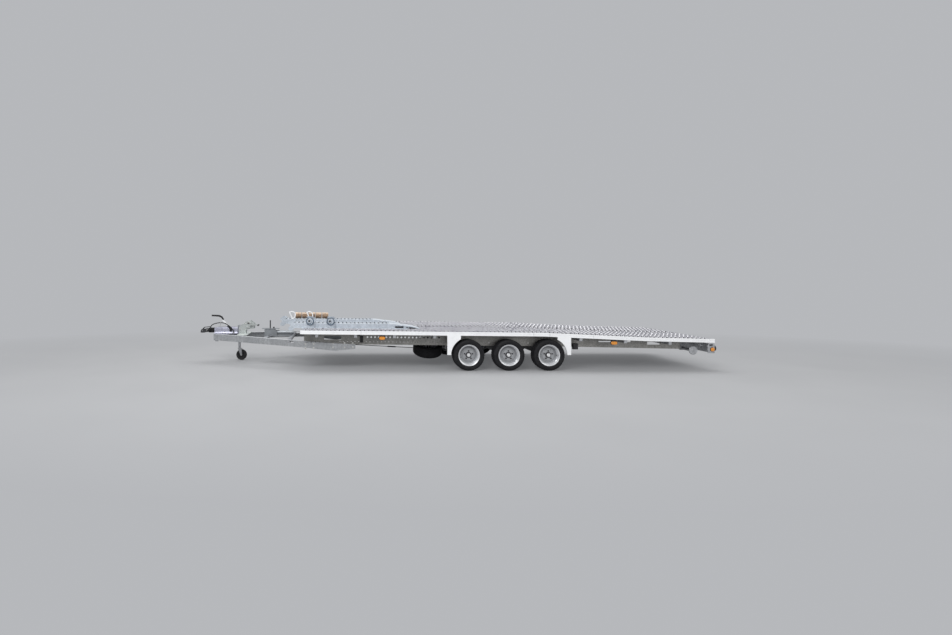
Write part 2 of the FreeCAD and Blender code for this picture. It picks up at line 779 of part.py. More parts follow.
# Axles: a square tube on seats under the beams, trailing arms at its ends, brake backplates and
# stub axles for the hubs
def axles():
    sets = []
    for axle in AXLES:
        centre = f"axle_{axle}_x"
        tube_x = f"({centre} - arm_reach - axle_tube / 2)"
        seat_top = f"({beam_low(tube_x + ' + axle_tube')} - seat_gap)"
        tube_low = f"({seat_top} - axle_seat - axle_tube)"
        pivot = f"({tube_low} + axle_tube / 2)"
        pieces = [block(f"axle_tube_{axle}", "axle_tube", "2 * beam_offset", "axle_tube",
                        tube_x, "-beam_offset", tube_low)]
        for side, sign in SIDES:
            tag = f"{axle}_{side}"
            pieces.append(block(f"axle_seat_{tag}", "axle_tube", "beam_flange", "axle_seat", tube_x,
                                side_low(sign, "beam_offset - beam_flange", "beam_flange"),
                                f"{tube_low} + axle_tube"))
            arm_y = side_low(sign, "beam_offset - 1", "arm_width")
            pieces.append(plate(f"arm_{tag}", [
                (f"{centre} - arm_reach - 14", f"{pivot} - arm_boss_radius + 4"),
                (f"{centre} - 8", "tyre_radius - arm_hub_radius + 2"),
                (f"{centre} + 8", "tyre_radius + arm_hub_radius - 2"),
                (f"{centre} - arm_reach + 14", f"{pivot} + arm_boss_radius - 4"),
            ], "arm_width", arm_y))
            pieces.append(rod(f"arm_boss_{tag}", "arm_boss_radius", "arm_width + 6", f"{centre} - arm_reach",
                              side_low(sign, "beam_offset - 1", "(arm_width + 6)"), pivot, "Y"))
            hub_length = "(tyre_centre + disc_in - drum_width - running_gap - beam_offset + 1)"
            pieces.append(rod(f"arm_hub_{tag}", "arm_hub_radius", hub_length, centre,
                              side_low(sign, "beam_offset - 1", hub_length), "tyre_radius", "Y"))
            back = "(tyre_centre + disc_in - drum_width - running_gap - drum_backplate)"
            pieces.append(rod(f"backplate_{tag}", "drum_radius - 2", "drum_backplate", centre,
                              side_low(sign, back, "drum_backplate"), "tyre_radius", "Y"))
            stub_length = "(tyre_centre + cap_end - hub_cap_wall - 3 - beam_offset)"
            pieces.append(rod(f"stub_{tag}", "stub_radius", stub_length, centre,
                              side_low(sign, "beam_offset", stub_length), "tyre_radius", "Y"))
        sets.append(joined(f"axle_set_{axle}", pieces))
    node("axles", together("axle_sets", sets))


# Drawbar: two channels that spread from the coupling to the beams and run back outside them
DRAWBAR_STATIONS = [
    # place along X, middle distance from the centre line, low edge, top edge
    ("drawbar_head_x", "head_half_gap + drawbar_width / 2", "drawbar_head_low", "drawbar_head_top"),
    ("bed_front_x", "drawbar_line", "drawbar_knee_low", "drawbar_knee_top"),
    ("foot_x", "drawbar_line", "drawbar_foot_low", "drawbar_foot_top"),
    ("drawbar_tail_x", "drawbar_line", "drawbar_tail_low", "drawbar_tail_top"),
]
DRAWBAR_HOLES = 5


def section(x, low_y, high_y, low, top):
    corners = [(low_y, low), (high_y, low), (high_y, top), (low_y, top)]
    wire = [FreeCAD.Vector(x, u, v) for u, v in corners]
    return Part.makePolygon(wire + wire[:1])


def drawbar():
    half = number("drawbar_width") / 2
    wall = number("drawbar_wall")
    for side, sign in SIDES:
        skins = []
        cores = []
        for x_text, y_text, low_text, top_text in DRAWBAR_STATIONS:
            x, y, low, top = (number(text) for text in (x_text, y_text, low_text, top_text))
            ends = sorted((sign * (y - half), sign * (y + half)))
            skins.append(section(x, *ends, low, top))
            ends = sorted((sign * (y - half - 1), sign * (y + half - wall)))
            cores.append(section(x, *ends, low + wall, top - wall))
        skin = doc.addObject("Part::Feature", f"drawbar_skin_{side}")
        skin.Shape = Part.makeLoft(skins, True, True)
        core = doc.addObject("Part::Feature", f"drawbar_core_{side}")
        core.Shape = Part.makeLoft(cores, True, True)
        reach_y = side_low(sign, "drawbar_line - 120", "220")
        slot_x = "bed_front_x - drawbar_slot_back - drawbar_slot_length / 2"
        slot_z = "rail_front_low - drawbar_hole_fall"
        radius = "drawbar_slot_height / 2"
        tools = [block(f"drawbar_slot_{side}", "drawbar_slot_length - drawbar_slot_height", "220",
                       "drawbar_slot_height", f"{slot_x} + {radius}", reach_y, f"{slot_z} - {radius}")]
        for i, x in enumerate((f"{slot_x} + {radius}", f"{slot_x} + drawbar_slot_length - {radius}")):
            tools.append(rod(f"drawbar_slot_end_{side}_{i}", radius, "220", x, reach_y, slot_z, "Y"))
        for i in range(DRAWBAR_HOLES):
            tools.append(rod(f"drawbar_hole_{side}_{i}", "drawbar_hole_radius", "220",
                             f"bed_front_x + 37 + {i} * drawbar_hole_pitch", reach_y, slot_z, "Y"))
        channel = cut(f"drawbar_channel_{side}", skin, core)
        node(f"drawbar_{side}", cut(f"drawbar_arm_{side}", channel, joined(f"drawbar_drill_{side}", tools)))


# Coupling head, bellows and overrun housing on the centre line
def front_end():
    foot = block("housing_foot_plate", "housing_length", "2 * head_half_gap + drawbar_width", "housing_foot",
                 "drawbar_head_x", "-head_half_gap - drawbar_width / 2", "drawbar_head_top + seat_gap")
    half = "housing_width / 2"
    low = "drawbar_head_top + housing_foot"
    case = profile("housing_case", [
        (f"-{half} - 12", low), (f"{half} + 12", low), (half, f"{low} + 24"),
        (half, f"{low} + housing_height"), (f"-{half}", f"{low} + housing_height"),
        (f"-{half}", f"{low} + 24"),
    ], "housing_length - 20", "drawbar_head_x")
    middle = number("shaft_height")
    rounded(case, "housing_round", lambda edge: edge.BoundBox.ZMin > middle and edge.BoundBox.XLength > 1)
    collar = rod("housing_collar", "bellows_radius + 4", "14", "drawbar_head_x", "0", "shaft_height", "X")
    rib = block("housing_rib", "housing_length - 120", "14", "12", "drawbar_head_x + 60", "-7",
                f"{low} + housing_height - 2")
    bore = rod("housing_bore", "shaft_radius + bore_gap", "160", "drawbar_head_x - 10", "0", "shaft_height",
               "X")
    node("overrun_housing", cut("housing", joined("housing_solid", [foot, case, collar, rib]), bore))
    skin_radius = "shaft_radius + bore_gap + 1"
    ribs = [("0", skin_radius)]
    count = int(number("bellows_count"))
    for i in range(count):
        ribs.append((f"-{i} * bellows_length / {count} - 2", "bellows_radius"))
        ribs.append((f"-({i} + 0.5) * bellows_length / {count}", "bellows_radius - bellows_pleat"))
    ribs.append(("-bellows_length", "bellows_radius - 4"))
    ribs.append(("-bellows_length", skin_radius))
    node("bellows", turned("bellows_skin", "XY_Plane", ribs, "H_Axis", "drawbar_head_x - seat_gap", "0",
                           "shaft_height"))
    shaft = rod("draw_shaft", "shaft_radius", "bellows_length + 140", "neck_x", "0", "shaft_height", "X")
    body = plate("head_body", [
        ("neck_x", "shaft_height - 32"),
        ("neck_x", "shaft_height + 30"),
        ("neck_x - 30", "shaft_height + 34"),
        ("ball_x + 10", "shaft_height + 18"),
        ("ball_x - 26", "shaft_height - 6"),
        ("ball_x - 30", "shaft_height - 38"),
        ("ball_x + 44", "shaft_height - 40"),
        ("neck_x - 26", "shaft_height - 34"),
    ], "head_width", "-head_width / 2")
    cup = turned("head_cup", "XZ_Plane", [
        ("0", "20"),
        ("head_radius - 22", "18"),
        ("head_radius - 8", "4"),
        ("head_radius", "-16"),
        ("head_radius", "-45"),
        ("0", "-45"),
    ], "V_Axis", "ball_x", "0", "shaft_height")
    handle = plate("head_handle", [
        ("ball_x - 14", "shaft_height + 14"),
        ("ball_x + 24", "shaft_height + 58"),
        ("ball_x + 122", "shaft_height + 68"),
        ("ball_x + 156", "shaft_height + 60"),
        ("ball_x + 154", "shaft_height + 52"),
        ("ball_x + 120", "shaft_height + 56"),
        ("ball_x + 34", "shaft_height + 46"),
        ("ball_x + 16", "shaft_height + 14"),
    ], "head_handle_width", "-head_handle_width / 2")
    socket = rod("head_socket", "ball_radius", "socket_depth + 10", "ball_x", "0",
                 "shaft_height - 55")
    node("coupling_head", cut("head", joined("head_solid", [shaft, body, cup, handle]), socket))


# Handbrake lever beside the housing
def handbrake():
    pivot_x = "drawbar_head_x + 300"
    blade = plate("lever_blade", [
        (f"{pivot_x} + 25", "shaft_height - 24"),
        (f"{pivot_x} + 25", "shaft_height + 45"),
        (f"{pivot_x} - 145", "shaft_height + 205"),
        (f"{pivot_x} - 160", "shaft_height + 190"),
        (f"{pivot_x} - 20", "shaft_height + 25"),
        (f"{pivot_x} - 20", "shaft_height - 24"),
    ], "lever_thick", "-housing_width / 2 - lever_thick - seat_gap")
    grip = plate("lever_grip", [
        (f"{pivot_x} - 140", "shaft_height + 190"),
        (f"{pivot_x} - 175", "shaft_height + 235"),
        (f"{pivot_x} - 220", "shaft_height + 255"),
        (f"{pivot_x} - 350", "shaft_height + 262"),
        (f"{pivot_x} - 350", "shaft_height + 290"),
        (f"{pivot_x} - 210", "shaft_height + 285"),
        (f"{pivot_x} - 160", "shaft_height + 262"),
        (f"{pivot_x} - 120", "shaft_height + 205"),
    ], "grip_thick", "-housing_width / 2 - (lever_thick + grip_thick) / 2 - seat_gap")
    pin = rod("lever_pin", "14", "lever_thick + 8", pivot_x,
              "-housing_width / 2 - lever_thick - 8 - seat_gap", "shaft_height", "Y")
    node("handbrake_lever", cut("lever", joined("lever_solid", [blade, pin]), grip))
    node("handbrake_grip", grip)


# Lighting cable: from a gland beside the housing, through the ring of a wire holder, round to its plug,
# which is parked on the coupling
CABLE_ROUTE = [
    # behind the drawbar's head, left of the centre line, above the drawbar's head
    (357, 78, 28),
    (357, 78, 62),
    (318, 78, 104),
    (266, 78, 156),
    (207, 78, 192),
    (150, 78, 203),
    (95, 78, 203),
    (40, 78, 194),
    (-12, 79, 178),
    (-50, 80, 154),
    (-68, 82, 120),
    (-76, 86, 90),
    (-96, 90, 70),
    (-122, 86, 62),
    (-140, 70, 62),
    (-140, 50, 62),
]
HOLDER_ROUTE = [
    # behind the drawbar's head, left of the centre line, above the drawbar's head
    (100, 24, 112.3),
    (100, 24, 140),
    (112, 50, 172),
    (122.5, 78, 189),
]
ARC_SHARE = 0.45


def swept(name, route, radius):
    """A round bar along straight runs joined by tangent arcs."""
    head = FreeCAD.Vector(number("drawbar_head_x"), 0, number("drawbar_head_top"))
    spots = [head + FreeCAD.Vector(x, -y, z) for x, y, z in route]
    edges = []
    start = spots[0]
    for before, corner, after in zip(spots, spots[1:], spots[2:]):
        into = corner - before
        out = after - corner
        run = ARC_SHARE * min(into.Length, out.Length)
        half_turn = into.getAngle(out) / 2
        into.normalize()
        out.normalize()
        rise = run / math.tan(half_turn) * (1 / math.cos(half_turn) - 1)
        middle = corner + (out - into).normalize() * rise
        first = corner - into * run
        last = corner + out * run
        edges.append(Part.LineSegment(start, first).toShape())
        edges.append(Part.Arc(first, middle, last).toShape())
        start = last
    edges.append(Part.LineSegment(start, spots[-1]).toShape())
    path = Part.Wire(edges)
    ring = Part.Wire([Part.Circle(spots[0], spots[1] - spots[0], radius).toShape()])
    piece = doc.addObject("Part::Feature", name)
    piece.Shape = path.makePipeShell([ring], True, False)
    if abs(piece.Shape.Volume / (math.pi * radius ** 2 * path.Length) - 1) > 0.01:
        raise RuntimeError(f"{name} has a wrong volume")
    return piece


def cable():
    node("light_cable", swept("cable_tube", CABLE_ROUTE, number("cable_radius")))
    reach, left, rise = CABLE_ROUTE[0]
    gland = rod("cable_gland", "cable_gland_radius", "cable_gland_length - seat_gap",
                f"drawbar_head_x + {reach}", f"-{left}",
                f"drawbar_head_top + {rise} - cable_gland_length + seat_gap")
    reach, left, rise = CABLE_ROUTE[-1]
    plug = rod("cable_plug", "cable_plug_radius", f"{left} - head_width / 2 - seat_gap",
               f"drawbar_head_x - {-reach}", f"-{left}", f"drawbar_head_top + {rise}", "Y")
    ring = doc.addObject("Part::Torus", "cable_ring")
    ring.setExpression("Radius1", linked("cable_radius + seat_gap + cable_wire"))
    ring.setExpression("Radius2", linked("cable_wire"))
    ring_x, ring_left, ring_rise = ((a + b) / 2 for a, b in zip(CABLE_ROUTE[5], CABLE_ROUTE[6]))
    at(ring, f"drawbar_head_x + {ring_x}", f"-{ring_left}", f"drawbar_head_top + {ring_rise}", LIE["X"])
    wire = swept("cable_wire_arm", HOLDER_ROUTE, number("cable_wire"))
    node("cable_fittings", together("cable_fitting_set", [gland, plug, joined("cable_holder", [ring, wire])]))


# Winch: two side plates on a cross plate, a drum with flanges between them, gear cover and crank
def winch():
    base_z = "(drawbar_head_top - arm_fall * (post_x + 5 - drawbar_head_x) + seat_gap)"
    solids = [block("post_base", "post_width + 60", "2 * post_reach", f"drawbar_head_top - 1 - {base_z}",
                    "post_x + 5", "-post_reach", base_z)]
    for side, sign in SIDES:
        solids.append(plate(f"winch_plate_{side}", [
            ("post_x + 5", "drawbar_head_top - 1"),
            ("post_x + 135", "drawbar_head_top - 1"),
            ("post_x + 145", "drawbar_head_top + 75"),
            ("post_x + winch_length - 10", "drawbar_head_top + 95"),
            ("post_x + winch_length", "drawbar_head_top + 190"),
            ("post_x + 220", "drawbar_head_top + 240"),
            ("post_x + 130", "drawbar_head_top + 215"),
            ("post_x + 5", "drawbar_head_top + 125"),
        ], "winch_plate", side_low(sign, "winch_drum_width / 2", "winch_plate")))
    span = "winch_drum_width + 2 * winch_plate"
    for i, (x, z) in enumerate((("post_x + 40", "drawbar_head_top + 60"),
                                ("post_x + winch_length - 24", "drawbar_head_top + 112"))):
        solids.append(rod(f"winch_tie_{i}", "6", f"{span} + 12", x, f"-({span}) / 2 - 6", z, "Y"))
    solids.append(rod("gear_cover", "winch_gear_radius", "winch_gear_cover", "crank_x - 40",
                      "-winch_drum_width / 2 - winch_plate - winch_gear_cover", "crank_height - 4", "Y"))
    reach = "winch_drum_width / 2 + winch_plate + crank_out"
    drum = [
        rod("drum_core", "winch_drum_radius", "winch_drum_width - 2 * seat_gap", "crank_x",
            "-winch_drum_width / 2 + seat_gap", "crank_height", "Y"),
        rod("crank_shaft", "winch_shaft_radius", "winch_drum_width + crank_out + winch_plate", "crank_x",
            f"-({reach})", "crank_height", "Y"),
        block("crank_arm", "crank_reach + 20", "8", "22", "crank_x - 10", f"-({reach})",
              "crank_height - 11"),
        rod("crank_grip", "crank_grip_radius", "crank_grip_length", "crank_x + crank_reach",
            f"-({reach}) - crank_grip_length", "crank_height", "Y"),
    ]
    for side, sign in SIDES:
        drum.append(rod(f"drum_flange_{side}", "winch_flange_radius", "winch_flange", "crank_x",
                        side_low(sign, "winch_drum_width / 2 - winch_flange - seat_gap", "winch_flange"),
                        "crank_height", "Y"))
    hole = rod("crank_hole", "winch_shaft_radius + bore_gap", "winch_drum_width + 80", "crank_x",
               "-winch_drum_width / 2 - 40", "crank_height", "Y")
    node("winch_drum", joined("crank", drum))
    node("winch_post", cut("post", joined("post_solid", solids), hole))


# Hand pump: housing on a base, its tank, a bracket, an upright lever socket and a release knob
def pump():
    end_x = "(pump_x + pump_length)"
    low = "(pump_low + pump_base)"
    top = f"({low} + pump_height)"
    half = "pump_width / 2"
    body = plate("pump_body", [
        ("pump_x", low), (end_x, low), (end_x, f"{top} - 55"), (f"{end_x} - 60", top), ("pump_x", top),
    ], "pump_width", f"-{half}")
    base = block("pump_base_plate", "pump_length + 320", "pump_width + 40", "pump_base", "pump_x",
                 f"-{half} - 20", "pump_low")
    lid = block("pump_lid", "pump_length + 80", "pump_width + 20", "8", "pump_x - 46", f"-{half} - 10", top)
    tank = rod("pump_tank", "tank_radius", "tank_length", f"{end_x} - 10", "0", f"{low} + 54", "X")
    tank_end = rod("pump_tank_end", "tank_radius + 6", "20", f"{end_x} + tank_length - 60", "0",
                   f"{low} + 54", "X")
    bracket = block("pump_bracket", "170", "60", "24", f"{end_x} - 10", "-30", f"{top} - 56 - 24")
    handle = rod("pump_handle", "11", "150", "pump_x + 103", "0", f"{top} + 8")
    knob = rod("pump_knob", "15", "26", "pump_x + 168", "0", f"{top} + 8")
    node("hand_pump", joined("pump", [body, base, lid, tank, tank_end, bracket, handle, knob]))
    bars = []
    arms = together("drawbar_pair", [piece for piece in nodes if piece.Label.startswith("drawbar_")])
    for i, place in enumerate(("pump_x + 20", "pump_x + pump_length + 240")):
        reach = f"(head_half_gap + drawbar_width - drawbar_wall + arm_spread * ({place} - drawbar_head_x))"
        bar = block(f"drawbar_bar_{i}", "60", f"2 * {reach}", "pump_bar", place, f"-{reach}",
                    "pump_low - pump_bar - seat_gap")
        bars.append(cut(f"drawbar_bar_cut_{i}", bar, arms))
    node("drawbar_cross_bars", together("drawbar_bars", bars))


# Jockey wheel: outer tube clamped to the right drawbar arm, inner tube, fork and wheel on the floor
def jockey():
    y = "jockey_y"
    outer = rod("jockey_outer", "jockey_tube_radius", "jockey_tube_length", "jockey_x", y, "jockey_tube_low")
    bore = rod("jockey_bore", "jockey_inner_radius + bore_gap", "jockey_tube_length - 12", "jockey_x", y,
               "jockey_tube_low")
    clamp_height = "drawbar_head_top - arm_fall * (jockey_x - drawbar_head_x) - 3 - jockey_tube_low"
    clamp = block("jockey_clamp_plate", "90", "jockey_tube_radius + jockey_clamp - seat_gap", clamp_height,
                  "jockey_x - 45 * cos(arm_angle)", f"{y} - 45 * sin(arm_angle)", "jockey_tube_low",
                  turn_about((0, 0, 1), number("arm_angle")))
    collar = rod("jockey_collar", "jockey_tube_radius + 6", "24", "jockey_x", y, "jockey_tube_top - 30")
    crank = block("jockey_crank", "110", "20", "8", "jockey_x - 10", f"{y} - 10", "jockey_tube_top")
    grip = rod("jockey_crank_grip", "10", "110", "jockey_x + 90", y, "jockey_tube_top - 110")
    solid = joined("jockey_tube_solid", [outer, clamp, collar, crank, grip])
    node("jockey_tube", cut("jockey_bored", solid, bore))
    node("jockey_inner_tube", rod("jockey_inner", "jockey_inner_radius",
                                  "jockey_tube_low + jockey_overlap - swivel_height", "jockey_x", y,
                                  "swivel_height"))
    trail_x = "(jockey_x + jockey_trail)"
    half = "(jockey_wheel_width / 2 + running_gap)"
    pieces = []
    for side, sign in SIDES:
        pieces.append(plate(f"fork_cheek_{side}", [
            ("jockey_x - 25", "fork_top"),
            ("jockey_x + 45", "fork_top"),
            (f"{trail_x} + 16", "jockey_wheel_radius - 6"),
            (f"{trail_x} + 9", "jockey_wheel_radius - 17"),
            (f"{trail_x} - 9", "jockey_wheel_radius - 17"),
            (f"{trail_x} - 16", "jockey_wheel_radius - 6"),
        ], "fork_plate", f"{y} + {side_low(sign, half, 'fork_plate')}"))
    width = f"2 * ({half} + fork_plate)"
    edge = f"{y} - {half} - fork_plate"
    pieces.append(block("fork_crown", "70", width, "12", "jockey_x - 25", edge, "fork_top - 12"))
    pieces.append(rod("fork_pin", "jockey_pin_radius", width, trail_x, edge, "jockey_wheel_radius", "Y"))
    pieces.append(rod("fork_swivel", "jockey_inner_radius", "swivel_height - seat_gap - fork_top",
                      "jockey_x", y, "fork_top"))
    node("jockey_fork", joined("fork", pieces))
    rows = [
        # radius, distance from the wheel's middle
        ("jockey_pin_radius + bore_gap", "jockey_wheel_width / 2"),
        ("jockey_pin_radius + 12", "jockey_wheel_width / 2"),
        ("jockey_pin_radius + 14", "jockey_wheel_width / 5"),
        ("jockey_wheel_radius * 0.55", "jockey_wheel_width / 5"),
        ("jockey_wheel_radius * 0.58", "jockey_wheel_width / 2 - 6"),
        ("jockey_wheel_radius * 0.8", "jockey_wheel_width / 2"),
        ("jockey_wheel_radius - 6", "jockey_wheel_width / 2 - 6"),
        ("jockey_wheel_radius", "jockey_wheel_width / 4"),
    ]
    section_rows = rows + [(radius, f"-({along})") for radius, along in reversed(rows)]
    node("jockey_wheel", turned("jockey_tyre", "XY_Plane", section_rows, "V_Axis", trail_x, y,
                                "jockey_wheel_radius"))


# Stowed ramps: channels open below, with feet turned out, ribs inside, hooks at the front end and a
# curved lip at the rear end
def ramp_points(start, end, rows):
    points = []
    for from_end, rise in rows:
        x = f"({end} {from_end})" if from_end.startswith("-") or not from_end else f"({start} {from_end})"
        points.append((x, f"{bed_low(x)} + rail_height + seat_gap + {rise}"))
    return points


RAMP_SIDE = [
    # from the rear end (-) or the front end (+) along X, rise above the bed
    ("+ 50", "20"),
    ("+ 90", "0"),
    ("- 215", "0"),
    ("- 190", "36"),
    ("- 190", "50"),
    ("- 300", "62"),
    ("- 465", "ramp_height"),
    ("+ 50", "ramp_height"),
]
RAMP_HOOK = [
    ("+ 0", "-45"),
    ("+ 45", "-45"),
    ("+ 100", "0"),
    ("+ 100", "ramp_height"),
    ("+ 60", "ramp_height + 33"),
    ("+ 0", "ramp_height + 33"),
    ("+ -20", "ramp_height + 10"),
    ("+ -20", "-30"),
]
RAMP_TOP = [
    ("+ 50", "ramp_height - ramp_wall"),
    ("- 465", "ramp_height - ramp_wall"),
    ("- 300", "62 - ramp_wall"),
    ("- 300", "62"),
    ("- 465", "ramp_height"),
    ("+ 50", "ramp_height"),
]
RAMP_FOOT = [
    ("+ 90", "0"),
    ("- 215", "0"),
    ("- 215", "ramp_wall"),
    ("+ 90", "ramp_wall"),
]
RAMP_LIP = [
    ("- 300", "50"),
    ("- 190", "38"),
    ("- 95", "20"),
    ("- 14", "0"),
    ("- 0", "0"),
    ("- 0", "8"),
    ("- 85", "34"),
    ("- 180", "52"),
    ("- 290", "64"),
]
RAMP_SLOTS = [
    # place before the rear end, length, rise, height
    (444, 150, 16, 34),
    (247, 34, 14, 24),
]


def ramps():
    pair = []
    ribs = int((number("ramp_length") - 600) / number("ramp_rib_pitch"))
    for side, sign in SIDES:
        start = f"(bed_front_x - ramp_{side}_start)"
        end = f"({start} + ramp_length)"
        inner = "ramp_offset - ramp_width / 2"
        outer = "ramp_offset + ramp_width / 2"
        low_y = side_low(sign, inner, "ramp_width")
        pieces = []
        mouth = rod(f"ramp_mouth_{side}", "ramp_mouth_radius", "ramp_width + 20", f"{start} - 20",
                    f"{low_y} - 10", f"{bed_low(start)} + rail_height + ramp_height / 2", "Y")
        for edge, near in (("in", inner), ("out", f"{outer} - ramp_wall")):
            near_y = side_low(sign, near, "ramp_wall")
            pieces.append(plate(f"ramp_side_{side}_{edge}", ramp_points(start, end, RAMP_SIDE), "ramp_wall",
                                near_y))
            hook = plate(f"ramp_hook_{side}_{edge}", ramp_points(start, end, RAMP_HOOK), "ramp_wall", near_y)
            pieces.append(cut(f"ramp_hook_open_{side}_{edge}", hook, mouth))
        for edge, near in (("in", f"{inner} - ramp_foot"), ("out", f"{outer} - 1")):
            pieces.append(plate(f"ramp_foot_{side}_{edge}", ramp_points(start, end, RAMP_FOOT),
                                "(ramp_foot + 1)", side_low(sign, near, "(ramp_foot + 1)")))
        pieces.append(plate(f"ramp_top_{side}", ramp_points(start, end, RAMP_TOP), "ramp_width", low_y))
        pieces.append(plate(f"ramp_lip_{side}", ramp_points(start, end, RAMP_LIP), "ramp_width", low_y))
        for i in range(ribs):
            x = f"({start} + 120 + {i} * ramp_rib_pitch)"
            z = f"{bed_low(x)} + rail_height + seat_gap + ramp_height - 1 - ramp_rib"
            pieces.append(block(f"ramp_rib_{side}_{i}", "ramp_wall", "ramp_width - 2", "ramp_rib", x,
                                f"{low_y} + 1", z))
        solid = joined(f"ramp_solid_{side}", pieces)
        tools = []
        for i, (back, length, rise, height) in enumerate(RAMP_SLOTS):
            x = f"({end} - {back})"
            tools.append(block(f"ramp_slot_{side}_{i}", length, "ramp_width + 20", height, x,
                               f"{low_y} - 10", f"{bed_low(x)} + rail_height + {rise}"))
        pair.append(cut(f"ramp_{side}", solid, together(f"ramp_tools_{side}", tools)))
    node("ramps", together("ramp_pair", pair))


# Spare wheel under the bed in front of the first axle, tilted on the stem of its carrier
def spare_wheel():
    tilt = turn_about((1, 0, 0), 90 + number("spare_tilt"))
    lean = turn_about((1, 0, 0), number("spare_tilt"))
    place = ("spare_x", "-spare_offset", "spare_height")
    node("spare_tyre", turned("spare_tread", "XY_Plane", TYRE_SECTION, "V_Axis", *place, tilt))
    node("spare_rim", turned("spare_disc", "XY_Plane", rim_section(-1, False), "V_Axis", *place, tilt))
    low = ("spare_x", "spare_stem_y", "spare_stem_low")
    stem = rod("spare_stem", "spare_stem_radius", "spare_stem_length", *low, turn=lean)
    button = rod("spare_button_disc", "spare_button_radius", "spare_button", *low, turn=lean)
    pad = block("spare_pad", "cross_width", "90", "2 * spare_button", "spare_x - cross_width / 2",
                "spare_stem_y - spare_stem_length * sin(spare_tilt) - 45",
                "spare_cross_low - seat_gap - 2 * spare_button")
    node("spare_carrier", joined("carrier", [stem, button, pad]))


# Brake rod along the centre line, from a yoke under the overrun housing to a hanger on the first axle
def brake_rod():
    yoke_x = "(post_x - 20)"
    tube_low = f"({beam_low('(axle_front_tube_x + axle_tube)')} - seat_gap - axle_seat - axle_tube)"
    rear_low = f"({tube_low} - rod_rear_drop)"
    front = FreeCAD.Vector(number(yoke_x), 0, number("rod_front_height"))
    rear = FreeCAD.Vector(number("axle_front_tube_x"), 0, number(rear_low))
    line = rear - front
    bar = doc.addObject("Part::Feature", "brake_bar")
    bar.Shape = Part.makeCylinder(number("rod_radius"), line.Length, front, line)
    sleeve = doc.addObject("Part::Feature", "brake_sleeve")
    start = front + line * ((number("spare_x - 700") - front.x) / line.x)
    sleeve.Shape = Part.makeCylinder(number("sleeve_radius"), number("sleeve_length"), start, line)
    yoke = block("brake_yoke", "12", "40", "drawbar_head_top - rod_front_height + 15", f"{yoke_x} - 6",
                 "-20", "rod_front_height - 15")
    hanger = block("brake_hanger", "12", "120", f"{tube_low} - {rear_low} + 15 - seat_gap",
                   "axle_front_tube_x", "-60", f"{rear_low} - 15")
    node("brake_rod", joined("brake", [bar, sleeve, yoke, hanger]))


# Prop stands: legs folded sideways under the tail, each with a round foot, on a pin between two ears
def props():
    ears = []
    drop = "prop_radius + 4"
    for side, sign in SIDES:
        middle = f"{sign} * prop_offset"
        leg = rod(f"prop_leg_{side}", "prop_radius", "prop_length", "prop_x",
                  side_low(sign, "prop_offset", "prop_length"), "prop_height", "Y")
        knuckle = block(f"prop_knuckle_{side}", "2 * prop_radius", f"2 * ({drop})", f"2 * ({drop})",
                        "prop_x - prop_radius", f"{middle} - {drop.replace('+', '-')}",
                        f"prop_height - {drop.replace('+', '-')}")
        foot = rod(f"prop_foot_{side}", "prop_foot_radius", "prop_foot_thick", "prop_x",
                   side_low(sign, "prop_offset + prop_length", "prop_foot_thick"), "prop_height", "Y")
        bore = rod(f"prop_bore_{side}", "prop_pin_radius + bore_gap", "80", "prop_x - 40", middle,
                   "prop_height", "X")
        stand = joined(f"prop_solid_{side}", [leg, knuckle, foot])
        node(f"prop_stand_{side}", cut(f"prop_{side}", stand, bore))
        first = "prop_x - prop_radius - 1 - ear_thick"
        top = "(rail_tail_low + tail_slope * (prop_setback - 40) + frame_top)"
        for i, x in enumerate((first, "prop_x + prop_radius + 1")):
            ears.append(block(f"prop_ear_{side}_{i}", "ear_thick", "70", f"{top} - (prop_height - 30)", x,
                              f"{middle} - 35", "prop_height - 30"))
        ears.append(rod(f"prop_pin_{side}", "prop_pin_radius", "2 * (prop_radius + 1 + ear_thick)", first,
                        middle, "prop_height", "X"))
    node("prop_brackets", joined("prop_bracket_set", ears))


# Lamp bar under the tail with its side plates, a row of round lamps at each end, and the side markers,
# each on a hood under the side rail
MARKER_PLACES = ["(bed_front_x + 1321)", "(bend_x + 1121)"]


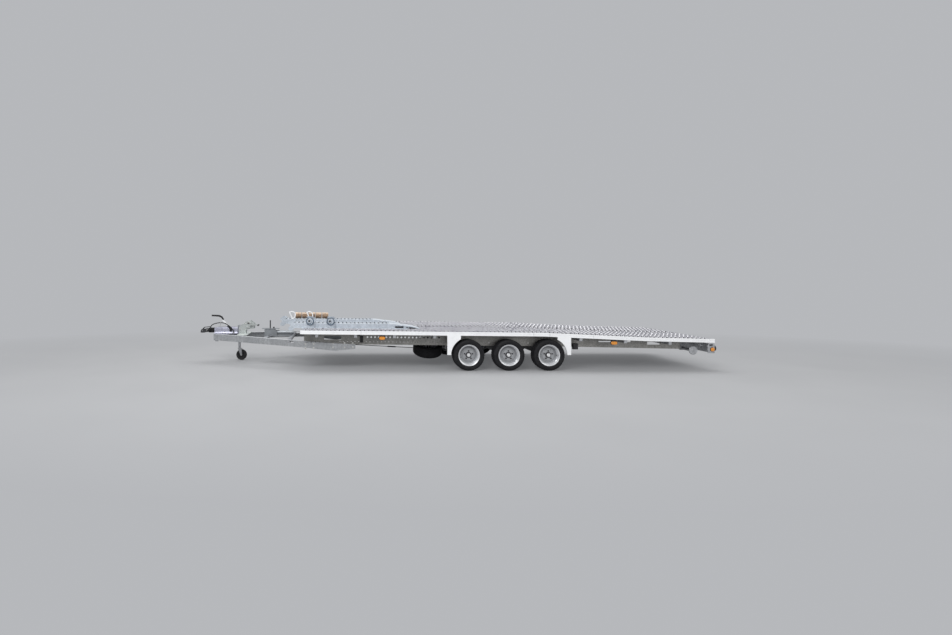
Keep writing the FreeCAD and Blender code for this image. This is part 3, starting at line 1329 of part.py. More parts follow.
def lamps():
    pieces = [block("lamp_bar_plate", "lamp_bar_thick", "2 * half_width - 40", "lamp_bar_height",
                    "lamp_bar_x", "-half_width + 20", "lamp_bar_low")]
    for i, (share, width) in enumerate(((-0.7, 30), (-0.2, 30), (0.17, 30), (0.67, 30))):
        pieces.append(block(f"lamp_strap_{i}", "12", width, "rail_tail_low - seat_gap - lamp_bar_low - 40",
                            "lamp_bar_x - 12", f"{share} * half_width", "lamp_bar_low + 40"))
    rounds = []
    markers = []
    for side, sign in SIDES:
        tip = "lamp_bar_x + lamp_bar_thick"
        cheek = plate(f"lamp_cheek_{side}", [
            (f"{tip} - lamp_side_length", "lamp_bar_low"),
            (tip, "lamp_bar_low"),
            (tip, "lamp_bar_low + lamp_bar_height"),
            (f"{tip} - 32", "lamp_bar_low + lamp_bar_height + 20"),
            (f"{tip} - 86", "lamp_bar_low + lamp_bar_height + 20"),
            (f"{tip} - lamp_side_length", "lamp_bar_low + lamp_bar_height - 16"),
        ], "4", side_low(sign, "half_width - 24", "4"))
        window = block(f"lamp_window_{side}", "62", "20", "32", f"{tip} - 90",
                       side_low(sign, "half_width - 32", "20"), "lamp_bar_low + lamp_bar_height - 30")
        pieces.append(cut(f"lamp_cheek_open_{side}", cheek, window))
        for i, inset in enumerate((90, 210, 330)):
            spot = (f"{sign} * (half_width - {inset})", "lamp_bar_low + lamp_bar_height / 2", "X")
            lens = rod(f"lamp_{side}_{i}", "lamp_radius - lamp_bezel", "lamp_overhang - 10 - seat_gap",
                       f"{tip} + seat_gap", *spot)
            bezel = rod(f"lamp_bezel_{side}_{i}", "lamp_radius", "lamp_overhang - 26", f"{tip} + seat_gap",
                        *spot)
            rounds.append(joined(f"lamp_round_{side}_{i}", [lens, bezel]))
        markers.append(rod(f"side_lamp_{side}", "side_lamp_radius", "16 - seat_gap", f"{tip} - 38",
                           side_low(sign, "half_width - 20 + seat_gap", "(16 - seat_gap)"),
                           "lamp_bar_low + 62", "Y"))
        for i, place in enumerate(MARKER_PLACES):
            top = f"({bed_at(place + ' + marker_length')} - seat_gap)"
            low = f"{top} - marker_hood - marker_height"
            low_y = side_low(sign, "half_width - marker_depth - 4", "marker_depth")
            radius = "marker_height / 2"
            lens = [block(f"marker_{side}_{i}", "marker_length - marker_height", "marker_depth",
                          "marker_height", f"{place} + {radius}", low_y, low)]
            for j, x in enumerate((f"{place} + {radius}", f"{place} + marker_length - {radius}")):
                lens.append(rod(f"marker_end_{side}_{i}_{j}", radius, "marker_depth", x, low_y,
                                f"{low} + {radius}", "Y"))
            lens.append(block(f"marker_hood_{side}_{i}", "marker_length - 22", "marker_depth",
                              "marker_hood + 12", f"{place} + 11", low_y, f"{top} - marker_hood - 12"))
            markers.append(joined(f"marker_lens_{side}_{i}", lens))
    node("lamp_bar", joined("lamp_carrier", pieces))
    node("rear_lamps", together("lamp_set", rounds))
    node("side_markers", together("marker_set", markers))


# Things stowed on the ramps: white hoops and rolled straps on the right one, ring clamps on the left
HOOP_LEAN = -25
CLAMP_HOOK = [
    # along X and up from the ring's middle
    (-56, 84),
    (60, 84),
    (112, 20),
    (90, -42),
    (104, -98),
    (58, -98),
    (74, -42),
    (94, 18),
    (54, 66),
    (-56, 66),
]


def stowed():
    hoops = []
    for i in range(2):
        outer = rod(f"hoop_round_{i}", "hoop_height / 2 + 3", "2 * hoop_rod", "0", "0", "0", "Y")
        inner = rod(f"hoop_inside_{i}", "hoop_height / 2 + 3 - 2 * hoop_rod", "2 * hoop_rod + 2", "0", "-1",
                    "0", "Y")
        chord = "-(hoop_height / 2 + 3) / 3"
        keep = block(f"hoop_keep_{i}", "hoop_height", "2 * hoop_rod", "2 * hoop_height", chord, "0",
                     "-hoop_height")
        hold = block(f"hoop_hold_{i}", "hoop_height", "2 * hoop_rod + 4", "2 * hoop_height",
                     f"{chord} + 2 * hoop_rod", "-2", "-hoop_height")
        whole = doc.addObject("Part::MultiCommon", f"hoop_whole_{i}")
        whole.Shapes = [outer, keep]
        gap = doc.addObject("Part::MultiCommon", f"hoop_gap_{i}")
        gap.Shapes = [inner, hold]
        x = f"(bed_front_x - 250 + {i} * hoop_pitch)"
        top = f"({bed_low(x)} + rail_height + 2 * seat_gap + ramp_height)"
        hoops.append(at(cut(f"hoop_{i}", whole, gap), x, "ramp_offset - ramp_width / 2 + 6",
                        f"{top} + hoop_height / 2 + 3", turn_about((0, 1, 0), HOOP_LEAN)))
    node("stow_hoops", together("hoop_set", hoops))
    rolls = []
    along = turn_about((0, 1, 0), 90 + number("atan(front_slope)"))
    for i in range(5):
        x = f"(bed_front_x - 190 + {i} * roll_pitch)"
        top = f"({bed_low(x)} + rail_height + 2 * seat_gap + ramp_height)"
        rolls.append(rod(f"roll_{i}", "roll_radius", "roll_length", x, "ramp_offset + 20",
                         f"{top} + roll_radius", turn=along))
    node("strap_rolls", together("roll_set", rolls))
    clamps = []
    plane = "-ramp_offset - ramp_width / 2 - seat_gap - clamp_plate"
    for i in range(2):
        x = f"(bed_front_x + 145 + {i} * clamp_pitch)"
        top = f"({bed_low(x)} + rail_height + seat_gap + ramp_height + 38)"
        ring = doc.addObject("Part::Torus", f"clamp_ring_{i}")
        ring.setExpression("Radius1", linked("clamp_ring_radius"))
        ring.setExpression("Radius2", linked("clamp_rod"))
        at(ring, x, plane, top, LIE["Y"])
        hook = plate(f"clamp_hook_{i}", [(f"{x} + {across}", f"{top} + {up}") for across, up in CLAMP_HOOK],
                     "2 * clamp_plate", f"{plane} - clamp_plate")
        clamps.append(joined(f"clamp_{i}", [ring, hook]))
    node("ring_clamps", together("clamp_set", clamps))


side_rails()
deck()
end_bars()
main_beams()
cross_members()
beam_box()
arch_plates()
wheels()
axles()
drawbar()
front_end()
handbrake()
cable()
winch()
pump()
jockey()
ramps()
spare_wheel()
brake_rod()
props()
lamps()
stowed()

doc.recompute()
for item in doc.Objects:
    if {"Invalid", "Error"} & set(item.State):
        raise RuntimeError(f"{item.Name} failed: {item.State}")
for piece in nodes:
    if piece.Shape.isNull() or not piece.Shape.isValid():
        raise RuntimeError(f"{piece.Label} has no valid shape")
os.makedirs("parts", exist_ok=True)
for piece in nodes:
    piece.Shape.exportStep(f"parts/{piece.Label}.step")
print(len(nodes), "nodes")
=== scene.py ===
import bpy
import bmesh
import math
import random
from mathutils import Matrix, Vector


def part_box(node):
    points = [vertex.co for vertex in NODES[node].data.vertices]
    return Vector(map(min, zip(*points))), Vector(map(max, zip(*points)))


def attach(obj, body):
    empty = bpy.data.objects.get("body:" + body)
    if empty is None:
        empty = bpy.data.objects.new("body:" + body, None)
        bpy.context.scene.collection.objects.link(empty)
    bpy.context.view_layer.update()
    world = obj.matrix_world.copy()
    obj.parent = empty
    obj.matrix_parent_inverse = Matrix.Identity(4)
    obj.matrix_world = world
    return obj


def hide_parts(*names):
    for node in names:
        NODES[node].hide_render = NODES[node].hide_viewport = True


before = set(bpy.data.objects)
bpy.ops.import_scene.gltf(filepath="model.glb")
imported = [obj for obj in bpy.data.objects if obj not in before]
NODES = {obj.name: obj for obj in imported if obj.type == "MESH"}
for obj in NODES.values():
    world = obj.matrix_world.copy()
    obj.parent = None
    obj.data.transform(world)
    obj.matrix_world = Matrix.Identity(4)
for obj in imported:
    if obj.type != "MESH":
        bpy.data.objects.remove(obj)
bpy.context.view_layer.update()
random.seed(7)

AXLES = ("front", "middle", "rear")
SIDES = {"left": -1, "right": 1}


# Materials
class Tree:
    """A material's nodes, with short calls for the ones used here."""

    def __init__(self, name):
        self.mat = bpy.data.materials.new(name)
        self.mat.use_nodes = True
        self.nodes = self.mat.node_tree.nodes
        self.links = self.mat.node_tree.links
        self.shader = self.nodes["Principled BSDF"]
        self.coords = self.nodes.new("ShaderNodeTexCoord")

    def put(self, socket, value):
        if isinstance(value, bpy.types.NodeSocket):
            self.links.new(value, socket)
        else:
            socket.default_value = value

    def math(self, kind, a, b=0.0):
        node = self.nodes.new("ShaderNodeMath")
        node.operation = kind
        for socket, value in zip(node.inputs, (a, b)):
            self.put(socket, value)
        return node.outputs[0]

    def between(self, value, low, high):
        """1 where a value lies between two others, and 0 elsewhere."""
        above = self.math("GREATER_THAN", value, low)
        below = self.math("LESS_THAN", value, high)
        return self.math("MULTIPLY", above, below)

    def noise(self, scale, detail=3.0, rough=0.5, stretch=(1, 1, 1)):
        mapping = self.nodes.new("ShaderNodeMapping")
        mapping.inputs["Scale"].default_value = stretch
        self.links.new(self.coords.outputs["Object"], mapping.inputs["Vector"])
        node = self.nodes.new("ShaderNodeTexNoise")
        node.inputs["Scale"].default_value = scale
        node.inputs["Detail"].default_value = detail
        node.inputs["Roughness"].default_value = rough
        self.links.new(mapping.outputs[0], node.inputs["Vector"])
        return node.outputs[0]

    def cells(self, scale):
        """A random grey for each cell of a Voronoi pattern."""
        node = self.nodes.new("ShaderNodeTexVoronoi")
        node.inputs["Scale"].default_value = scale
        self.links.new(self.coords.outputs["Object"], node.inputs["Vector"])
        grey = self.nodes.new("ShaderNodeRGBToBW")
        self.links.new(node.outputs["Color"], grey.inputs[0])
        return grey.outputs[0]

    def axis(self, letter, kind="Object"):
        node = self.nodes.new("ShaderNodeSeparateXYZ")
        self.links.new(self.coords.outputs[kind], node.inputs[0])
        return node.outputs[letter]

    def span(self, value, low, high, to_low, to_high):
        """A value's range moved to another range, and held at its ends."""
        node = self.nodes.new("ShaderNodeMapRange")
        for socket, v in zip(node.inputs[:5], (value, low, high, to_low, to_high)):
            self.put(socket, v)
        return node.outputs[0]

    def mix(self, factor, a, b):
        node = self.nodes.new("ShaderNodeMix")
        node.data_type = "RGBA"
        self.put(node.inputs[0], factor)
        for socket, colour in ((node.inputs[6], a), (node.inputs[7], b)):
            self.put(socket, colour if isinstance(colour, bpy.types.NodeSocket) else (*colour, 1))
        return node.outputs[2]

    def bump(self, height, strength, distance=0.001):
        node = self.nodes.new("ShaderNodeBump")
        node.inputs["Strength"].default_value = strength
        node.inputs["Distance"].default_value = distance
        self.links.new(height, node.inputs["Height"])
        self.links.new(node.outputs[0], self.shader.inputs["Normal"])

    def done(self, colour, rough, metal=0.0, coat=0.0):
        self.put(self.shader.inputs["Base Color"], colour)
        self.put(self.shader.inputs["Roughness"], rough)
        self.shader.inputs["Metallic"].default_value = metal
        self.shader.inputs["Coat Weight"].default_value = coat
        return self.mat


def times(share, colour):
    """A colour made darker or paler, with each part held at 1."""
    return tuple(min(1, share * part) for part in colour)


def zinc(name, dark, pale, metal=0.75, spangle=70, grime=(0.16, 0.15, 0.14), top=None):
    """Galvanised steel: crystal patches, clouds, run-off streaks, grime low down and, when a top colour is
    given, a painted highlight on faces that look up.
    """
    t = Tree(name)
    base = t.mix(t.cells(spangle), dark, pale)
    clouds = t.noise(scale=5, detail=5, rough=0.6)
    streaks = t.noise(scale=9, rough=0.6, stretch=(3, 3, 0.35))
    base = t.mix(t.span(clouds, 0.35, 0.7, 0.0, 0.55), base, times(0.8, dark))
    base = t.mix(t.span(streaks, 0.55, 0.75, 0.0, 0.35), base, times(1.12, pale))
    low_down = t.span(t.axis("Z"), 0.08, 0.5, 0.35, 0.0)
    base = t.mix(t.math("MULTIPLY", low_down, t.noise(scale=14, detail=4)), base, grime)
    # Painted highlight: faces that look up are paled towards the top colour, as if lit from above.
    if top:
        facing_up = t.axis("Z", "Normal")
        base = t.mix(t.span(facing_up, 0.5, 0.9, 0, 0.9), base, top)
    rough = t.math("ADD", t.span(t.cells(spangle), 0, 1, 0.3, 0.44), t.span(clouds, 0.3, 0.7, 0, 0.12))
    t.bump(t.noise(scale=260, detail=2), 0.18, 0.0006)
    return t.done(base, rough, metal)


SEAM_HALF = 0.0022


def paint(name, colour, rough=0.34, metal=0.0, coat=0.3, dirt=(0.42, 0.4, 0.37), seams=()):
    """Painted or powder-coated metal with faint mottling, dust and optional joint lines along X."""
    t = Tree(name)
    base = t.mix(t.span(t.noise(scale=3, detail=4), 0.3, 0.7, 0, 1), times(0.94, colour), colour)
    dust = t.noise(scale=38, detail=5, rough=0.7, stretch=(1, 1, 0.4))
    base = t.mix(t.span(dust, 0.62, 0.82, 0, 0.4), base, dirt)
    for seam in seams:
        apart = t.math("ABSOLUTE", t.math("SUBTRACT", t.axis("X"), seam))
        near = t.math("LESS_THAN", apart, SEAM_HALF)
        base = t.mix(t.math("MULTIPLY", near, 0.75), base, (0.16, 0.16, 0.17))
    t.bump(t.noise(scale=420, detail=2), 0.1, 0.0004)
    sheen = t.span(t.noise(scale=12), 0.3, 0.7, rough - 0.06, rough + 0.1)
    return t.done(base, sheen, metal, coat)


def rubber(name, colour, dust, rough=0.72):
    """Matt rubber or plastic with grey wear."""
    t = Tree(name)
    t.shader.inputs["Specular IOR Level"].default_value = 0.25
    worn = t.span(t.noise(scale=16, detail=5, rough=0.65), 0.42, 0.75, 0.0, 0.5)
    t.bump(t.noise(scale=330), 0.3, 0.0006)
    sheen = t.span(t.noise(scale=40), 0.3, 0.7, rough - 0.12, rough + 0.12)
    return t.done(t.mix(worn, colour, dust), sheen)


LENS_RIBS = 330


def lens(name, colour):
    """Moulded lamp lens: colour deepens between fine ribs under a clear coat."""
    t = Tree(name)
    ribs = t.math("SINE", t.math("MULTIPLY", t.axis("Z"), LENS_RIBS * math.tau))
    clouds = t.noise(scale=60, detail=2)
    mottled = t.math("ADD", t.span(ribs, -1, 1, 0, 0.55), t.span(clouds, 0.3, 0.7, 0, 0.45))
    base = t.mix(mottled, times(0.6, colour), colour)
    t.bump(ribs, 0.25, 0.0008)
    t.shader.inputs["Transmission Weight"].default_value = 0.1
    return t.done(base, t.span(t.noise(scale=20), 0.3, 0.7, 0.1, 0.22), coat=0.6)


THREADS_ALONG = 900
THREADS_ACROSS = 1300


def webbing(name, colour, thread):
    """Woven lashing strap: weave, wear, long beige streaks, a painted highlight on its top and painted
    shade on its underside.
    """
    t = Tree(name)
    along = t.math("SINE", t.math("MULTIPLY", t.axis("X"), THREADS_ALONG))
    round_roll = t.math("ADD", t.axis("Y"), t.axis("Z"))
    across = t.math("SINE", t.math("MULTIPLY", round_roll, THREADS_ACROSS))
    weave = t.math("MULTIPLY", along, across)
    base = t.mix(t.span(weave, -1, 1, 0, 1), colour, thread)
    base = t.mix(t.span(t.noise(scale=45, detail=4), 0.45, 0.7, 0, 0.6), base, times(0.5, colour))
    streaks = t.noise(scale=26, stretch=(0.4, 1.8, 1.8))
    base = t.mix(t.span(streaks, 0.5, 0.64, 0, 0.6), base, (0.66, 0.5, 0.36))
    # Painted highlight on faces that look up, and painted shade on faces that look down.
    facing_up = t.axis("Z", "Normal")
    base = t.mix(t.span(facing_up, 0.25, 0.95, 0, 0.6), base, (0.78, 0.63, 0.49))
    base = t.mix(t.span(facing_up, 0.1, -0.7, 0, 0.7), base, (0.05, 0.028, 0.015))
    t.bump(weave, 0.5, 0.001)
    t.shader.inputs["Sheen Weight"].default_value = 0.25
    return t.done(base, t.span(t.noise(scale=90), 0.3, 0.7, 0.72, 0.9))


# Wheel paint: the rim's box, radii of its rings and heights of its faces, in metres
RIM_ACROSS = 0.36
RIM_WIDE = 0.167
CAP_RADIUS = 0.0305
RECESS = (0.031, 0.0515)
RECESS_FACE = 0.0282
NUT_RING = (0.052, 0.09)
NUT_FACE = 0.0292
STEP_RADIUS = 0.1195
STEP_HALF = 0.0032
WALL_FOOT = 0.122
DISC_EDGE = 0.149


def wheel_silver():
    """Silver wheel paint: shaded disc, a painted shadow across the top of the dish wall, a dark line of
    painted shade at the wall's foot, a dark ring of painted shade round the hub, dark nuts, pale flange and
    cap.
    """
    t = Tree("wheel_silver")
    x, y, z = (t.math("SUBTRACT", t.axis(letter, "Generated"), 0.5) for letter in "XYZ")
    squares = t.math("ADD", t.math("MULTIPLY", x, x), t.math("MULTIPLY", z, z))
    ring = t.math("MULTIPLY", t.math("SQRT", squares), RIM_ACROSS)
    out = t.math("MULTIPLY", t.math("ABSOLUTE", y), RIM_WIDE)
    clouds = t.noise(scale=5, detail=4)
    base = t.mix(t.span(clouds, 0.3, 0.7, 0, 1), (0.66, 0.67, 0.69), (0.74, 0.75, 0.77))
    disc = t.math("LESS_THAN", ring, DISC_EDGE)
    base = t.mix(t.math("MULTIPLY", disc, 0.62), base, (0.2, 0.21, 0.225))
    # Painted shadow: the upper part of the dish wall is darkened, as if shaded from above.
    wall = t.between(ring, WALL_FOOT, DISC_EDGE)
    shade = t.math("MULTIPLY", wall, t.span(z, -0.2, 0.42, 0.0, 0.75))
    base = t.mix(shade, base, (0.07, 0.07, 0.08))
    # Painted shade: a dark line in the corner at the foot of the dish wall.
    from_step = t.math("ABSOLUTE", t.math("SUBTRACT", ring, STEP_RADIUS))
    step = t.math("LESS_THAN", from_step, STEP_HALF)
    base = t.mix(t.math("MULTIPLY", step, 0.7), base, (0.1, 0.1, 0.11))
    nuts = t.math("MULTIPLY", t.math("GREATER_THAN", out, NUT_FACE), t.between(ring, *NUT_RING))
    base = t.mix(nuts, base, (0.035, 0.035, 0.04))
    # Painted shade: a dark ring on the sunken faces round the hub cap.
    recess = t.math("MULTIPLY", t.math("LESS_THAN", out, RECESS_FACE), t.between(ring, *RECESS))
    base = t.mix(recess, base, (0.05, 0.05, 0.055))
    base = t.mix(t.math("LESS_THAN", ring, CAP_RADIUS), base, (0.88, 0.89, 0.9))
    patches = t.span(t.noise(scale=34, detail=5, rough=0.7), 0.5, 0.8, 0, 0.5)
    dirt = t.math("MULTIPLY", patches, t.span(ring, 0.09, 0.16, 1.0, 0.3))
    base = t.mix(dirt, base, (0.2, 0.18, 0.16))
    t.bump(t.noise(scale=420, detail=2), 0.1, 0.0004)
    return t.done(base, t.span(t.noise(scale=12), 0.3, 0.7, 0.26, 0.42), 0.6, 0.2)


def two_parts(name, main, part, axis, past):
    """Zinc in two colours, the second one past a place along an axis, as for a grip or a handle."""
    t = Tree(name)
    way = 1.0 if past > 0 else -1.0
    zone = t.math("GREATER_THAN", t.math("MULTIPLY", t.axis(axis), way), abs(past))
    patches = t.mix(t.cells(60), times(0.86, main), main)
    patches = t.mix(t.span(t.noise(scale=9, detail=4), 0.35, 0.7, 0, 0.6), patches, times(0.78, main))
    rubbed = tuple(min(1, 2.5 * c + 0.02) for c in part)
    worn = t.mix(t.span(t.noise(scale=50, detail=4), 0.4, 0.7, 0, 0.5), part, rubbed)
    t.bump(t.noise(scale=260, detail=2), 0.18, 0.0006)
    t.put(t.shader.inputs["Metallic"], t.span(zone, 0, 1, 0.6, 0.0))
    t.put(t.shader.inputs["Base Color"], t.mix(zone, patches, worn))
    t.put(t.shader.inputs["Roughness"], t.span(zone, 0, 1, 0.38, 0.62))
    return t.mat


WINCH_GRIP_Y = -0.0955
PUMP_HANDLE_Z = 0.6215
LEVER_BRIGHT_Z = 0.674
RAIL_SEAMS = (-1.527, 1.375, 1.644, 2.382)

GALV = zinc("galvanised", (0.36, 0.37, 0.385), (0.57, 0.58, 0.605))
# The drawbar, the winch post and the ramps get a painted highlight on their top faces.
ARM = zinc("drawbar_zinc", (0.3, 0.31, 0.325), (0.46, 0.475, 0.49), 0.45, 45, top=(0.74, 0.76, 0.78))
POST = zinc("post_zinc", (0.4, 0.43, 0.425), (0.56, 0.59, 0.58), 0.55, 50, top=(0.66, 0.7, 0.68))
RAMP = zinc("ramp_zinc", (0.47, 0.52, 0.58), (0.66, 0.71, 0.77), 0.4, 60, top=(0.64, 0.69, 0.74))
# Painted shade: a darker copy of the ramp zinc for the feet of the ramp bumps; a few bumps also take it at
# random.
RAMP_TOP = zinc("ramp_top", (0.3, 0.32, 0.36), (0.5, 0.53, 0.57), 0.4, 60)
BEAM = zinc("beam_zinc", (0.22, 0.216, 0.205), (0.4, 0.392, 0.37), 0.6, 60)
# Painted highlight: a pale, lit copy of the deck zinc for the bumps.
DECK = zinc("deck_zinc", (0.82, 0.82, 0.86), (0.94, 0.94, 0.96), 0.25, 90)
# Painted shade: a darker copy of the deck zinc for the flat sheet between the bumps; a few bumps also take
# it at random.
DECK_BASE = zinc("deck_sheet", (0.25, 0.25, 0.28), (0.43, 0.43, 0.465), 0.3, 90)
# Painted shade: a near-black copy of the deck zinc for the steep feet of the bumps.
DECK_FOOT_SHADE = zinc("deck_foot_shade", (0.07, 0.07, 0.1), (0.16, 0.16, 0.2), 0.3, 120)
LILAC = zinc("passivated_zinc", (0.33, 0.335, 0.41), (0.48, 0.485, 0.57), 0.6, 30)
CLAMP = zinc("clamp_zinc", (0.34, 0.38, 0.43), (0.62, 0.67, 0.73), 0.6, 60)
SLEEVE = zinc("clamp_sleeve", (0.13, 0.17, 0.22), (0.24, 0.29, 0.35), 0.6, 60)
STEEL = zinc("bolt_zinc", (0.5, 0.5, 0.5), (0.72, 0.71, 0.66), 0.9, 160)
DARK_HOLE = paint("hole_shadow", (0.03, 0.03, 0.035), 0.8, coat=0.0, dirt=(0.06, 0.055, 0.05))
WHITE = paint("white_coat", (0.87, 0.88, 0.9), 0.3)
RAIL_WHITE = paint("rail_white", (0.87, 0.88, 0.9), 0.3, seams=RAIL_SEAMS)
CAST = paint("black_cast", (0.035, 0.036, 0.04), 0.45, 0.3, 0.15, (0.12, 0.11, 0.1))
BLACK = rubber("black_rubber", (0.02, 0.02, 0.022), (0.07, 0.068, 0.065))
TYRE = rubber("tyre_rubber", (0.009, 0.009, 0.011), (0.026, 0.026, 0.027), 0.7)
PLASTIC = rubber("black_plastic", (0.025, 0.025, 0.028), (0.06, 0.06, 0.06), 0.5)
AMBER = lens("amber_lens", (0.95, 0.36, 0.04))
RED = lens("red_lens", (0.62, 0.02, 0.02))
CLEAR = lens("clear_lens", (0.85, 0.86, 0.88))
STRAP = webbing("brown_webbing", (0.1, 0.048, 0.022), (0.4, 0.25, 0.145))
SILVER = wheel_silver()
WINCH = two_parts("winch_zinc", (0.5, 0.53, 0.52), (0.03, 0.03, 0.033), "Y", WINCH_GRIP_Y)
PUMP = two_parts("pump_zinc", (0.32, 0.34, 0.36), (0.025, 0.027, 0.03), "Z", PUMP_HANDLE_Z)
LEVER = two_parts("lever_steel", (0.03, 0.03, 0.034), (0.72, 0.73, 0.75), "Z", LEVER_BRIGHT_Z)

FINISH = {
    "side_rail_left": RAIL_WHITE, "side_rail_right": RAIL_WHITE, "arch_plates": WHITE, "stow_hoops": WHITE,
    "deck": DECK_BASE, "main_beam_left": BEAM, "main_beam_right": BEAM,
    "drawbar_left": ARM, "drawbar_right": ARM, "ramps": RAMP, "ring_clamps": CLAMP,
    "overrun_housing": LILAC, "coupling_head": CAST, "bellows": BLACK, "handbrake_grip": BLACK,
    "jockey_wheel": BLACK, "hand_pump": PUMP, "axles": CAST, "beam_box": PLASTIC, "brake_rod": CAST,
    "spare_carrier": CAST, "winch_drum": WINCH, "winch_post": POST, "light_cable": BLACK,
    "cable_fittings": STEEL, "handbrake_lever": LEVER,
}


def finish_nodes():
    """Gives each solid of the frame its material."""
    for node, piece in NODES.items():
        finish = FINISH.get(node, GALV)
        if node.startswith("rim") or node == "spare_rim":
            finish = SILVER
        piece.data.materials.clear()
        piece.data.materials.append(finish)


finish_nodes()


# Mesh helpers
def middle(node):
    """The middle of a node's box."""
    low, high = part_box(node)
    return (low + high) / 2


def place(name, data, body):
    """A piece from a mesh or a curve, riding on a body."""
    piece = bpy.data.objects.new(name, data)
    bpy.context.scene.collection.objects.link(piece)
    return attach(piece, body)


def add(name, verts, faces, mat, body="chassis", smooth=False, marks=None, mats=()):
    """A piece from vertices and faces; marks pick each face's material from mat and then mats."""
    mesh = bpy.data.meshes.new(name)
    mesh.from_pydata(verts, [], faces)
    mesh.materials.append(mat)
    for extra in mats:
        mesh.materials.append(extra)
    if marks:
        mesh.polygons.foreach_set("material_index", marks)
    mesh.polygons.foreach_set("use_smooth", [smooth] * len(mesh.polygons))
    mesh.update()
    return place(name, mesh, body)


def join(faces, one, other, count, closed=True):
    """Quads between two rings of points, given the number of each ring's first point."""
    for k in range(count if closed else count - 1):
        m = (k + 1) % count
        faces.append((one + k, one + m, other + m, other + k))


def lathe(verts, faces, centre, normal, rows, count, closed=False):
    """Rings of (radius, height) about an axis, joined by quads, added to the lists."""
    n = Vector(normal).normalized()
    u = n.orthogonal().normalized()
    v = n.cross(u)
    start = len(verts)
    for radius, height in rows:
        for k in range(count):
            a = math.tau * k / count
            spot = Vector(centre) + n * height
            spot += u * (radius * math.cos(a))
            spot += v * (radius * math.sin(a))
            verts.append(tuple(spot))
    for i in range(len(rows) if closed else len(rows) - 1):
        join(faces, start + i * count, start + (i + 1) % len(rows) * count, count)
    if not closed:
        last = start + (len(rows) - 1) * count
        faces.append(tuple(range(last, last + count)))


WASHER = 0.0022
WASHER_SIDES = 16
BOLT_SIDES = 6


def bolts(name, spots, size):
    """Hex bolt heads on washers at (place, normal)."""
    washer = [(1.75 * size, 0), (1.75 * size, 0.0016), (1.6 * size, WASHER)]
    head = [(size, WASHER), (size, WASHER + 0.6 * size), (0.82 * size, WASHER + 0.75 * size)]
    verts, faces = [], []
    for spot, normal in spots:
        lathe(verts, faces, spot, normal, washer, WASHER_SIDES)
        lathe(verts, faces, spot, normal, head, BOLT_SIDES)
    return add(name, verts, faces, STEEL)


def rod(name, points, radius, mat):
    """A round bar along straight runs between points."""
    curve = bpy.data.curves.new(name, "CURVE")
    curve.dimensions = "3D"
    curve.bevel_depth = radius
    curve.bevel_resolution = 3
    curve.use_fill_caps = True
    line = curve.splines.new("POLY")
    line.points.add(len(points) - 1)
    for point, spot in zip(line.points, points):
        point.co = (*spot, 1)
    curve.materials.append(mat)
    return place(name, curve, "chassis")


def block(name, low, high, side, mat, slot="marker", edge=0.003):
    """A small block with bevelled edges; -1 puts its middle at the negative of the given Y."""
    low, high = Vector(low), Vector(high)
    size = high - low
    centre = (low + high) / 2
    centre.y *= side
    mesh = bmesh.new()
    bmesh.ops.create_cube(mesh, size=1)
    for vert in mesh.verts:
        vert.co = centre + vert.co * size
    bmesh.ops.bevel(mesh, geom=mesh.edges[:], offset=edge, segments=2, affect="EDGES")
    data = bpy.data.meshes.new(name)
    mesh.to_mesh(data)
    mesh.free()
    data.materials.append(mat)
    return place(name, data, "chassis")


# The bed: its top face along X, as (X, Z) of its front, its two bends and its rear
BED_LINE = ((-2.55, 0.682), (1.55, 0.643), (3.27, 0.565), (4.415, 0.538))
BED_FRONT = BED_LINE[0][0]
BEND_X = BED_LINE[1][0]


def fall(part):
    """How much a part of the bed drops for each metre to the rear."""
    (front, above), (rear, below) = BED_LINE[part:part + 2]
    return (above - below) / (rear - front)


def deck_top(x):
    """Height of the bed's top face along X."""
    part = sum(x >= bend for bend, height in BED_LINE[1:3])
    start, height = BED_LINE[part]
    return height - fall(part) * (x - start)


# Bumps: raised and pierced ones in staggered rows, with louvres in rows of their own
BUMP_PITCH = 0.071
BUMP_RINGS = ((0.0165, -0.0004), (0.0148, 0.0062), (0.0118, 0.0092), (0.0098, 0.0088), (0.0088, 0.0006))
BUMP_SIDES = 8
BUMP_GROW = (0.92, 1.08)
WORN_SHARE = 0.08
SHEET, HOLE, FOOT, WORN = range(4)
MOUTH_HALF = 0.018
MOUTH_HEIGHT = 0.019
MOUTH_TAPER = 0.4
INNER_HALF = 0.86
INNER_HEIGHT = 0.84
MOUTH_RINGS = ((0.0, 1.0), (0.012, 0.86), (0.032, 0.12))
MOUTH_STEPS = 6
SUNK = 0.0004


def bump(verts, faces, marks, x, y, rise):
    """One pierced bump on a sloping face whose height along X is given by a function."""
    start = len(verts)
    grow = random.uniform(*BUMP_GROW)
    side = WORN if random.random() < WORN_SHARE else SHEET
    for radius, height in BUMP_RINGS:
        radius *= 0.5 + 0.5 * grow
        height *= grow
        for k in range(BUMP_SIDES):
            a = math.tau * (k + 0.5) / BUMP_SIDES
            px = x + radius * math.cos(a)
            verts.append((px, y + radius * math.sin(a), rise(px) + height))
    # The foot ring of each bump is marked FOOT, whose material is a darker copy standing for painted shade.
    for mark in (FOOT, side, side, HOLE):
        join(faces, start, start + BUMP_SIDES, BUMP_SIDES)
        marks += [mark] * BUMP_SIDES
        start += BUMP_SIDES
    faces.append(tuple(range(start, start + BUMP_SIDES)))
    marks.append(HOLE)


